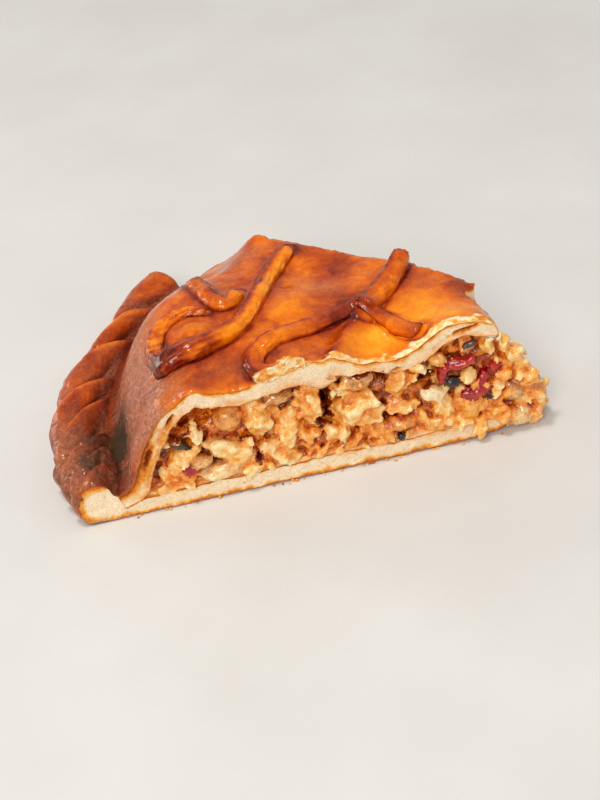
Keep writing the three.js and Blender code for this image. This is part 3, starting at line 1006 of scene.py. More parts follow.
@dataclass(frozen=True)
class GlazedCrust:
    """The egg-glazed outside of the dough, and the pale crumb where the knife went through.

    Attributes:
        gloss: How rough the glaze is.
        crumb_roughness: How rough the crumb is.
    """

    gloss: float = 0.3
    crumb_roughness: float = 0.62

    def material(self) -> bpy.types.Material:
        """Makes the material.

        The mesh gives bake (0 yellow to 1 dark red-brown, with painted shade worked into it in the rim's
        creases, in the valley by the rim and along the strands), char, a matt-skin value (1 where the skin is
        matt and its colour is a painted mauve-grey reflection of the pale surroundings), cut (1 on crumb),
        rind (1 at a browned edge; in the lid's lens-shaped holes it is painted shade) and stain (1 where sauce
        has soaked in).

        Returns:
            The material.
        """
        r = Recipe("glazed_crust")
        cut, matt_and_sheen = r.attribute("cut"), r.attribute("matt_and_sheen")
        colour = r.mix(cut, self.crust(r, matt_and_sheen), self.crumb(r))
        shine = r.add(r.spread(r.noise(2.4, 4.0), 0.35, 0.75, 0.0, 0.25), self.gloss)
        shine = r.add(shine, r.times(matt_and_sheen, 0.2))
        roughness = r.add(shine, r.times(cut, self.crumb_roughness - self.gloss))
        skin = r.bump(r.noise(0.8, 5.0), 0.1)
        skin = r.bump(r.noise(3.0, 3.0, 0.5), 0.2, skin)
        skin = r.bump(r.times(r.noise(0.45, 4.0, 0.5), matt_and_sheen), 0.45, skin)
        skin = r.bump(r.times(r.spread(r.pores(0.6), 0.05, 0.35), cut), 0.16, skin)
        r.finish(
            colour, roughness, skin, Specular_IOR_Level=0.28, Specular_Tint=tint(255, 180, 100),
            Subsurface_Weight=0.06, Subsurface_Scale=0.0012, Subsurface_Radius=(1.0, 0.5, 0.2),
            Coat_Roughness=0.13, Coat_IOR=1.42, Coat_Tint=tint(255, 212, 160),
        )
        bare = r.most(cut, r.times(matt_and_sheen, 0.42))
        r.tree.links.new(r.spread(bare, 0.0, 0.5, 0.85, 0.0), r.shader.inputs["Coat Weight"])
        return r.material

    @staticmethod
    def crust(r: Recipe, matt_and_sheen: Socket) -> Socket:
        """The colour of the outside.

        Args:
            r: The recipe that it is part of.
            matt_and_sheen: How matt the skin is, and how much of the painted mauve-grey reflection its colour
                takes.

        Returns:
            The colour.
        """
        baked = r.vary(r.attribute("bake"), r.noise(5.5, 5.0, 0.8), 0.48)
        baked = r.vary(baked, r.noise(1.3, 4.0, 0.5), 0.24)
        crust = r.ramp(
            baked,
            (
                (0.0, tint(254, 200, 50)), (0.2, tint(244, 164, 10)), (0.4, tint(218, 124, 4)),
                (0.58, tint(182, 84, 8)), (0.78, tint(132, 40, 8)), (1.0, tint(76, 14, 10)),
            ),
        )
        crust = r.mix(r.spread(r.noise(0.5, 3.0), 0.63, 0.74, 0.0, 0.5), crust, tint(112, 38, 10))
        crust = r.mix(r.spread(r.pores(2.8, False), 0.04, 0.085, 0.75, 0.0), crust, tint(60, 22, 12))
        # The matt skin's mauve-grey is a painted reflection: the pale surroundings seen in the glaze at a
        # grazing angle.
        sheen_colour = r.ramp(
            r.noise(1.1, 5.0, 0.6),
            ((0.3, tint(128, 78, 64)), (0.5, tint(172, 113, 92)), (0.72, tint(204, 150, 126))),
        )
        burnt = r.mix(r.noise(0.7, 4.0, 0.4), tint(22, 16, 12), tint(92, 82, 70))
        return r.mix(r.attribute("char"), r.mix(matt_and_sheen, crust, sheen_colour), burnt)

    @staticmethod
    def crumb(r: Recipe) -> Socket:
        """The colour of the crumb.

        Args:
            r: The recipe that it is part of.

        Returns:
            The colour.
        """
        crumb = r.ramp(
            r.noise(0.8, 5.0, 0.4),
            ((0.26, tint(246, 208, 158)), (0.46, tint(253, 228, 190)), (0.72, tint(255, 242, 218))),
        )
        # Darker spots at fine pores: painted shade inside them.
        crumb = r.mix(r.spread(r.pores(1.1), 0.08, 0.24, 0.4, 0.0), crumb, tint(222, 170, 100))
        crumb = r.mix(r.spread(r.noise(4.5, 2.0, 0.8), 0.55, 0.8, 0.0, 0.5), crumb, tint(246, 208, 136))
        rind = r.attribute("rind")
        edge = r.ramp(
            r.vary(rind, r.noise(1.1, 3.0), 0.5),
            (
                (0.0, tint(255, 240, 205)), (0.3, tint(250, 204, 128)), (0.55, tint(240, 154, 62)),
                (0.8, tint(204, 106, 38)), (1.0, tint(148, 66, 24)),
            ),
        )
        crumb = r.mix(r.spread(rind, 0.04, 0.4), crumb, edge)
        soaked = r.times(r.attribute("stain"), r.spread(r.noise(1.5, 3.0, 0.6), 0.25, 0.6, 0.4, 1.0))
        return r.mix(soaked, crumb, tint(238, 152, 60))


class Kind(IntEnum):
    """What a bit of the filling is. The number is also its material's place in the mesh."""

    SAUCE = 0
    CHICKEN = 1
    PEPPER = 2
    ONION = 3
    OLIVE = 4
    POTATO = 5
    MUSHROOM = 6


@dataclass(frozen=True)
class FillingFinish:
    """How one kind of filling looks.

    Attributes:
        kind: Which kind it is.
        deep: Its colour in hollows: the sauce settled there, darkened further as painted shade.
        plain: Its colour on even ground.
        light: Its colour on low ridges.
        bright: Its colour on sharp ridges: paler meat on the tops, lightened further as painted highlight.
        roughness: How rough it is.
        relief: How deep its fine relief is, in millimetres.
        glow: How much light goes through it.
        coat: How much wet film it carries.
    """

    kind: Kind
    deep: Colour
    plain: Colour
    light: Colour
    bright: Colour
    roughness: float = 0.4
    relief: float = 0.12
    glow: float = 0.15
    coat: float = 0.6

    def material(self) -> bpy.types.Material:
        """Makes the material. The mesh gives ridge (0 in hollows, 1 on ridges) and tone (-1 to 1).

        Returns:
            The material.
        """
        r = Recipe(self.kind.name.lower())
        # The colour follows the ridge value, so hollows take painted shade and ridges painted highlight.
        level = r.vary(r.attribute("ridge"), r.noise(1.8, 4.0, 0.5), 0.42)
        level = r.add(level, r.times(r.attribute("tone"), 0.33))
        level = r.vary(level, r.noise(0.45, 3.0, 0.6), 0.4)
        stops = ((0.14, self.deep), (0.42, self.plain), (0.66, self.light), (0.9, self.bright))
        wet = r.spread(r.noise(1.1, 3.0), 0.3, 0.7, self.roughness * 0.55, self.roughness * 1.3)
        relief = r.bump(r.noise(0.5, 4.0), self.relief)
        relief = r.bump(r.noise(1.5, 3.0, 0.8), self.relief * 1.6, relief)
        r.finish(
            r.ramp(level, stops), wet, relief, Specular_IOR_Level=0.5, Subsurface_Weight=self.glow,
            Subsurface_Scale=0.002, Subsurface_Radius=(1.0, 0.45, 0.2), Coat_Weight=self.coat,
            Coat_Roughness=0.12, Coat_IOR=1.42,
        )
        return r.material


FILLING_FINISHES = (
    FillingFinish(
        Kind.SAUCE, tint(122, 40, 4), tint(230, 120, 22), tint(246, 156, 54), tint(250, 192, 112),
        roughness=0.2, relief=0.1, glow=0.14,
    ),
    FillingFinish(
        Kind.CHICKEN, tint(176, 62, 4), tint(246, 144, 36), tint(255, 188, 92), tint(255, 226, 166),
        roughness=0.26, relief=0.2, glow=0.16,
    ),
    FillingFinish(
        Kind.PEPPER, tint(70, 2, 4), tint(146, 2, 6), tint(172, 8, 10), tint(206, 48, 30),
        roughness=0.1, relief=0.08, glow=0.15, coat=0.7,
    ),
    FillingFinish(
        Kind.ONION, tint(140, 66, 26), tint(208, 142, 78), tint(238, 196, 132), tint(255, 234, 192),
        roughness=0.14, relief=0.03, glow=0.5,
    ),
    FillingFinish(
        Kind.OLIVE, tint(8, 6, 6), tint(18, 13, 12), tint(36, 27, 24), tint(80, 62, 52),
        roughness=0.34, relief=0.04, glow=0.0, coat=0.25,
    ),
    FillingFinish(
        Kind.POTATO, tint(180, 84, 8), tint(232, 140, 30), tint(244, 176, 60), tint(254, 210, 110),
        roughness=0.26, relief=0.06, glow=0.2,
    ),
    FillingFinish(
        Kind.MUSHROOM, tint(146, 66, 12), tint(212, 126, 46), tint(236, 166, 84), tint(250, 208, 138),
        roughness=0.24, relief=0.04, glow=0.2,
    ),
)


# ---- The lid ----


def paint(x: Array, y: Array, spots: Sequence[tuple[float, float, float, float]]) -> Array:
    """Soft spots added up.

    Args:
        x: Plan x of each point.
        y: Plan y of each point.
        spots: x, y, spread and amount of each spot.

    Returns:
        The sum at each point.
    """
    total = np.zeros_like(x)
    for at_x, at_y, spread, amount in spots:
        total += amount * hump(np.hypot(x - at_x, y - at_y) / spread)
    return total


def crumb_pits(places: Array) -> Array:
    """How deep the crumb's pores and torn hollows go in from a cut.

    Args:
        places: Places on the cut.

    Returns:
        The depths in millimetres.
    """
    near, chance = pits(places, 1.25, 51)
    small = np.clip(1.0 - near / (0.26 + 0.2 * chance), 0, 1) * 0.34
    near, chance = pits(places, 3.4, 52)
    large = np.clip(1.0 - near / (0.13 + 0.17 * chance), 0, 1) * (chance > 0.35)
    return np.maximum(small, large) + 0.1 * (1 + grain(places, 0.8, 53)) + 0.3 * (1 + grain(places, 3.0, 54))


def crust_values(count: int) -> dict[str, Array]:
    """The crust finish's named values, all nought, for the given number of vertices."""
    return {name: np.zeros(count, np.float32) for name in CRUST_VALUES}


# Soft spots on the crust: x, y, spread and amount.
LID_BAKE_SPOTS = (
    (102, 9, 9, -0.26), (94, 6, 6, -0.18), (110, 13, 8, -0.22), (122, 12, 8, -0.26), (129, 6, 6, -0.24),
    (116, 5, 6, -0.16), (120, 21, 6, -0.12), (107, 22, 6, -0.14), (103, 42, 7, -0.14), (111, 25, 5, -0.12),
    (75, 30, 8, -0.12), (83, 40, 8, -0.12), (84, 62, 5, -0.1), (50, 31, 4, -0.1), (46, 8, 8, 0.12),
    (60, 8, 5, 0.22), (54, 15, 4, 0.14), (43, 33, 4, 0.1), (70, 9, 4, 0.1), (83, 5, 4, 0.22),
    (94, 33, 6, 0.2), (104, 35, 5, 0.02), (96, 46, 6, 0.18), (98, 52, 6, 0.16), (76, 60, 5, 0.14),
    (66, 75, 8, 0.14), (62, 50, 5, 0.2), (118, 24, 6, 0.03), (127, 25, 6, 0.05), (120, 34, 5, 0.08),
    (133, 24, 5, 0.26), (88, 15, 3, 0.15), (68, 54, 4, 0.16), (97, 26, 6, 0.2), (34, 24, 5, 0.2),
    (76, 66, 5, 0.1), (93, 64, 10, 0.1),
)
# Spots where the lid's skin is matt and takes the painted mauve-grey reflection.
LID_MATT_SHEEN_SPOTS = (
    (93, 39, 6, 0.4), (76, 52, 5, 0.25), (43, 33, 4, 0.3), (66, 74, 8, 0.35), (72, 10, 5, 0.3),
    (58, 8, 5, 0.3), (50, 11, 5, 0.3), (36, 8, 6, 0.6), (31, 12, 6, 0.5), (50, 58, 6, 0.3),
    (18, 28, 6, 0.3), (18, 12, 6, 0.3), (116, 24, 5, 0.2), (60, 44, 4, 0.2),
)
LID_PALE_EDGES = ((77, 48, 5, 1.0), (83, 58, 5, 1.0), (72, 37, 4.5, 1.0), (67, 29, 4, 0.8))
RIM_BURNT_SPOTS = (
    (6.8, 24.5, 3.0, 1.3), (5.4, 11.5, 3.2, 1.3), (2.6, 14, 2.4, 1.0), (8.0, 17.5, 2.2, 0.9),
    (7.5, 4.8, 1.6, 0.8), (10, 31, 2.4, 0.6),
)
STRAND_BAKE_SPOTS = (
    (64, 1, 5, 0.3), (61, 6, 4, 0.25), (33, 24, 3, 0.3), (71, 44, 9, -0.1), (64, 32, 7, -0.14),
    (80, 58, 7, -0.08), (33, 28, 6, -0.12), (44, 41, 6, -0.1), (104, 17, 4, 0.06), (96, 23, 6, 0.26),
    (88, 20, 4, 0.14), (112, 11, 4, -0.14), (51, 58, 4, 0.16), (62, 45, 4, -0.14), (104, 34, 4, 0.2),
    (107, 26, 4, -0.1), (114, 37, 5, 0.04),
)
LONG_STRAND_BAKE_SPOTS = ((31, 17.5, 6, 0.85), (40, 14.5, 5, 0.45), (50, 16.5, 5, 0.34))
# Spots where a strand's skin is matt and takes the painted mauve-grey reflection.
STRAND_MATT_SHEEN_SPOTS = ((49, 62, 9, 0.5), (29, 30, 6, 0.3))

# Lens-shaped holes in the lid at the front cut: x, height, half length and lean.
FISSURES = (
    (32.4, 33.4, 3.2, 0.95), (23.7, 21.8, 4.8, 1.15), (104.5, 34.6, 2.0, 0.2), (127.4, 43.9, 5.6, 0.2),
)
FISSURE_HALF_WIDTH = 0.95
FISSURE_DEPTH = 2.2


@dataclass
class TopCrust:
    """The domed lid.

    Attributes:
        columns: Steps from the foot to the blunt end.
        rows: Steps from the front cut to the back cut.
        layers: Steps through its thickness at an edge.
    """

    columns: int = 300
    rows: int = 216
    layers: int = 14

    def grid(self) -> tuple[Array, Array]:
        """How far along and across each grid place lies: closer together up the wall.

        Returns:
            Both shares, 0 to 1.
        """
        share = np.linspace(0, 1, self.columns + 1)
        along = np.where(share < 0.45, share / 0.45 * 0.24, lerp(0.24, 1.0, (share - 0.45) / 0.55))
        across = np.linspace(0, 1, self.rows + 1)
        return np.meshgrid(along, across, indexing="ij")

    def build(self) -> Shape:
        """Builds the lid's mesh, with its values for the finish.

        Returns:
            The finished shape.
        """
        along, across = self.grid()
        x, y = plan_point(LID_FOOT, along, across, LID_END_AT_FRONT, LID_END_AT_BACK)
        flat = stack(x, y, 0.0)
        ragged = (0.7 * rough(flat, 2.2, 61) + read_table(LID_TEAR, y)) * smoothstep(along, 0.88, 1.0)
        x = x + ragged * (1 - hump(across / 0.05)) * (1 - hump((1 - across) / 0.05))
        gap = gap_to_strands(x, y)
        inner = smoothstep(np.minimum(along * 30, 1), 0.0, 1.0)
        near_cut = hump(np.minimum(y, behind_back_cut(x, y)) / 1.2) * inner
        top = self.upper(x, y, gap, inner)
        top[..., 2] += 0.5 * near_cut * rough(flat, 1.9, 85)
        top[..., 2] += 1.3 * hump((y - 24.5) / 2.0) * smoothstep(x, 131.0, 137.0)
        bottom = self.lower(x, y, along, near_cut)
        for face in (top, bottom):
            face[:, 0, 1] = 0
            face[:, -1, 1] = back_cut_y(face[:, -1, 0])
        return self.close(Slab(top, bottom, self.layers), gap)

    @staticmethod
    def upper(x: Array, y: Array, gap: Array, inner: Array) -> Array:
        """The upper face with its relief.

        Args:
            x: Plan x of each grid place.
            y: Plan y of each grid place.
            gap: How far each lies from a strand.
            inner: 0 at the lid's foot and 1 a little way up.

        Returns:
            The places.
        """
        height = lid_height(x, y)
        top = stack(x, y, height)
        relief = 0.6 * rough(top, 8.0, 62) + 0.08 * rough(top, 1.6, 63)
        relief = relief + 0.9 * hump(np.maximum(gap, 0) / 1.5) - 0.6 * hump((gap - 0.1) / 0.5)
        streaks = rough(stack(angle_of(x, y) * VALLEY_RADIUS, height * 0.12, 0.0), 1.1, 64)
        wall = (1 - smoothstep(height, 30.0, 41.0)) * smoothstep(height, 9.0, 16.0)
        relief = relief + wall * (0.22 * streaks - 0.1)
        from_edge = np.minimum(np.minimum(y, behind_back_cut(x, y)), LID_END_AT_BACK + 1 - x)
        relief = relief - 0.45 * hump(np.maximum(from_edge, 0) / 0.7)
        return top + lid_normal(x, y) * (relief * inner)[..., None]

    @staticmethod
    def lower(x: Array, y: Array, along: Array, near_cut: Array) -> Array:
        """The lower face, kept in the planes of the cuts beside them.

        Args:
            x: Plan x of each place of the upper grid.
            y: Plan y of each place of the upper grid.
            along: 0 at the lid's foot, 1 at the blunt end.
            near_cut: 1 at a cut, 0 away from it.

        Returns:
            The places.
        """
        offset = -lid_normal(x, y) * lid_thickness(x, y)[..., None]
        offset[..., 1] *= smoothstep(y, -0.5, 6.0)
        hold = 1 - smoothstep(behind_back_cut(x, y), -0.5, 6.0)
        out = offset[..., 0] * BACK_CUT_OUT[0] + offset[..., 1] * BACK_CUT_OUT[1]
        for axis in (0, 1):
            offset[..., axis] -= hold * out * BACK_CUT_OUT[axis]
        offset[..., 0] *= 1 - smoothstep(along, 0.95, 1.0)
        bottom = stack(x, y, lid_height(x, y)) + offset
        bottom[..., 2] += (0.3 + 0.7 * near_cut) * rough(bottom, 3.0, 65)
        bottom[..., 2] = np.maximum(bottom[..., 2], base_height(bottom[..., 0], bottom[..., 1]) + 0.05)
        return bottom

    def close(self, slab: Slab, gap: Array) -> Shape:
        """Closes the lid's edges and gives every vertex its values.

        Args:
            slab: The upper and lower grids.
            gap: How far each upper place lies from a strand.

        Returns:
            The finished shape.
        """
        edge = slab.edge()
        places, between, rim = edge.places, edge.between, edge.rings[0]
        top, bottom = edge.top.ravel(), edge.bottom.ravel()
        spot = places[between]
        fissure = self.fissures(spot) * (edge.ring[:, 1] == 0)[None]
        sunk = edge.crumb() + FISSURE_DEPTH * fissure
        sunk[:, edge.ring[:, 0] == 0] = 0
        edge.sink(sunk)
        faces = grid_faces(edge.top) + grid_faces(edge.bottom, 4, flip=True) + ring_faces(edge.rings)
        values = crust_values(len(places))
        cut, rind, stain, bake, char, matt_and_sheen = values.values()
        upper = places[top]
        cut[between] = 1.0
        cut[rim] = 0.25
        cut[bottom] = 1.0
        cut[top] = np.maximum(cut[top], self.torn(upper))
        rind[between], stain[between] = self.cut_face(edge, spot, fissure)
        rind[top] = np.clip(0.35 + 0.6 * rough(upper, 1.5, 101), 0.1, 0.8)
        rind[rim] = np.clip(1.0 - 0.8 * cut[rim], 0.2, 0.9)
        stain[bottom] = 0.9
        bake[:] = self.bake(places)
        # Darker along the foot of each strand on the lid: partly glaze pooled in the groove and partly painted
        # shade.
        pale = paint(upper[:, 0], upper[:, 1], LID_PALE_EDGES)
        beside = hump((gap.ravel() - 0.25) / 0.9) * np.clip(0.8 + 0.8 * rough(upper, 4.0, 88), 0.2, 1.3)
        beside = beside * np.clip(1 - pale, 0, 1)
        bake[top] += 0.34 * beside + 0.12 * hump((gap.ravel() - 1.0) / 2.2)
        char[:] = self.char(places)
        matt_and_sheen[:] = self.matt_and_sheen(places)
        return Shape(places, faces, values).compact()

    @staticmethod
    def cut_face(edge: Edge, spot: Array, fissure: Array) -> tuple[Array, Array]:
        """How browned and how soaked the cut faces are, with painted shade in the lens-shaped holes.

        Args:
            edge: The lid's edge.
            spot: The places between its grids before they were sunk.
            fissure: How far each of them lies in a hole, 0 to 1.

        Returns:
            The rind and the stain, 0 to 1.
        """
        x = spot[..., 0]
        wedge = smoothstep(x, 14.0, 20.0) + 1.2 * hump((x - 27.0) / 7.0)
        uneven = 1 + 0.5 * rough(spot, 2.0, 66)
        wide = 0.45 + 1.3 * np.clip(0.5 + 0.9 * rough(spot, 6.0, 86), 0, 1) * uneven
        wide = wide * lerp(2.1, 1.0, smoothstep(x, 24.0, 34.0))
        soaked = 0.4 + 1.7 * np.clip(0.45 + 0.9 * rough(spot, 5.0, 87), 0, 1) * uneven
        rind = np.clip(np.exp(-edge.from_top / wide) * 1.25, 0, 1)
        stain = np.exp(-edge.from_bottom / (soaked * np.maximum(wedge, 1))) * wedge
        # The holes take the browned edge's colour: painted shade inside them.
        return np.clip(rind + 1.2 * fissure, 0, 1), np.clip(stain - fissure, 0, 1)

    @staticmethod
    def torn(places: Array) -> Array:
        """Where the skin is torn off along the front cut.

        Args:
            places: Places on the upper face.

        Returns:
            0 to 1 for each.
        """
        x, y, _ = parts(places)
        torn = smoothstep(2.2 + 2.6 * rough(places, 3.0, 99) + 1.6 * smoothstep(x, 116, 126) - y, 0, 1.0)
        wander = x + 3 * rough(places, 4.0, 100)
        first = smoothstep(wander, 67, 69) * (1 - smoothstep(wander, 77, 80))
        return torn * np.maximum(smoothstep(wander, 78, 84), first)

    @staticmethod
    def matt_and_sheen(places: Array) -> Array:
        """Where the lid's skin is matt and takes a painted mauve-grey reflection, as up its wall.

        Args:
            places: The places.

        Returns:
            0 to 0.9 for each.
        """
        x, y, z = parts(places)
        wall = 1 - smoothstep(distance_inside(x, y) + 2.5 * rough(places, 6.0, 89), 15.0, 25.0)
        streaks = rough(stack(angle_of(x, y) * VALLEY_RADIUS, z * 0.16, 0.0), 1.3, 79)
        spots = paint(x, y, LID_MATT_SHEEN_SPOTS) * (0.8 + 0.6 * streaks)
        return np.clip(wall * (0.74 + 0.42 * streaks) * smoothstep(z, 8.0, 13.0) + spots, 0, 0.9)

    @staticmethod
    def fissures(places: Array) -> Array:
        """Where the holes inside the thickness lie at the front cut.

        Args:
            places: The places.

        Returns:
            0 to 1 for each.
        """
        total = np.zeros(places.shape[:-1])
        wobble = 0.25 * grain(places, 1.0, 67)
        for x, z, long, lean in FISSURES:
            dx, dz = places[..., 0] - x, places[..., 2] - z
            u = dx * math.cos(lean) + dz * math.sin(lean)
            v = -dx * math.sin(lean) + dz * math.cos(lean)
            total += np.clip(1.2 - np.hypot(u / long, v / FISSURE_HALF_WIDTH) + wobble, 0, 1)
        return np.clip(total, 0, 1)

    @staticmethod
    def bake(places: Array) -> Array:
        """How dark the lid is baked.

        Args:
            places: The places.

        Returns:
            About 0 to 1 for each.
        """
        x, y, _ = parts(places)
        inside = distance_inside(x, y)
        bake = 0.46 + paint(x, y, LID_BAKE_SPOTS)
        # Darker towards the valley by the rim; over the last few millimetres this is painted shade in the
        # crevice.
        bake = bake + 0.16 * (1 - smoothstep(inside, 10.0, 20.0)) + 0.26 * (1 - smoothstep(inside, 2.0, 8.0))
        bake = bake + 0.3 * hump(distance_to_run(x, y, *LID_FOLD_FOOT) / 2.2)
        at_cut = hump(np.minimum(y, behind_back_cut(x, y)) / 1.6)
        return bake + 0.16 * rough(places, 11.0, 68) + 0.09 * rough(places, 3.0, 80) - 0.12 * at_cut

    @staticmethod
    def char(places: Array) -> Array:
        """Where the lid is burnt: low on its wall, and in scattered specks.

        Args:
            places: The places.

        Returns:
            0 to 1 for each.
        """
        x, y, _ = parts(places)
        burnt = 2.7 * hump(np.hypot((x - 14.8 - 0.06 * (y - 24)) / 3.8, (y - 24) / 8.5))
        burnt = burnt + 0.7 * hump(np.hypot((x - 14.0) / 1.6, (y - 11) / 3.0))
        specks, chance = pits(places, 4.5, 69)
        speck = np.clip(1 - specks / 0.07, 0, 1) * (chance > 0.6)
        return np.clip(burnt * (0.75 + 0.6 * rough(places, 1.5, 70)) + 0.8 * speck, 0, 1)


# ---- The base and its twisted rim ----


def fold_rise(share: Array) -> Array:
    """How far a fold stands out: from its ridge a steep drop, then a slow rise to the next ridge.

    Args:
        share: The share of the way along the fold.

    Returns:
        0 to 1.
    """
    steep = np.cos(share / FOLD_DROP * math.pi * 0.5)
    slow = np.sin((share - FOLD_DROP) / (1 - FOLD_DROP) * math.pi * 0.5)
    return np.where(share < FOLD_DROP, steep, slow)


def rim_section(angle: Array, turn: Array) -> tuple[Array, Array, Array]:
    """The rim's surface at an angle about its centre and a turn about its own section.

    Args:
        angle: The angle about the rim's centre.
        turn: 0 outermost, a quarter turn on top.

    Returns:
        The radius, the height, and the share of the way along its fold.
    """
    ends = np.radians(np.array(FOLD_RIDGES))
    to_valley = np.clip((turn - RIDGE_TURNS[0]) / (RIDGE_TURNS[1] - RIDGE_TURNS[0]), 0, 1)
    ridges = lerp(ends[:, 1, None, None], ends[:, 0, None, None], to_valley[None])
    fold = np.clip(np.sum(ridges > angle[None], axis=0) - 1, 0, len(ends) - 2)
    here = np.take_along_axis(ridges, fold[None], 0)[0]
    following = np.take_along_axis(ridges, fold[None] + 1, 0)[0]
    share = np.clip((here - angle) / (here - following), 0, 1)
    shown = smoothstep(turn, -1.2, -0.1) * (1 - smoothstep(turn, 2.5, 3.1))
    narrow = np.clip((here - following) / math.radians(9.0), 0.34, 1.0)
    out = FOLD_DEPTH * (fold_rise(share) - 0.8) * shown * narrow
    inner = valley_radius(angle)
    outer = read_table(RIM_OUTER, np.degrees(angle))
    half = (outer - inner) / 2 + out
    squared = np.where(turn < 0, 0.6, 1.0)
    cosine = np.cos(turn)
    radius = (outer + inner) / 2 + half * np.sign(cosine) * np.abs(cosine) ** squared
    height = np.maximum(0, RIM_CORE_HEIGHT + (RIM_HALF_HEIGHT + out) * np.sin(turn))
    return radius, height, share


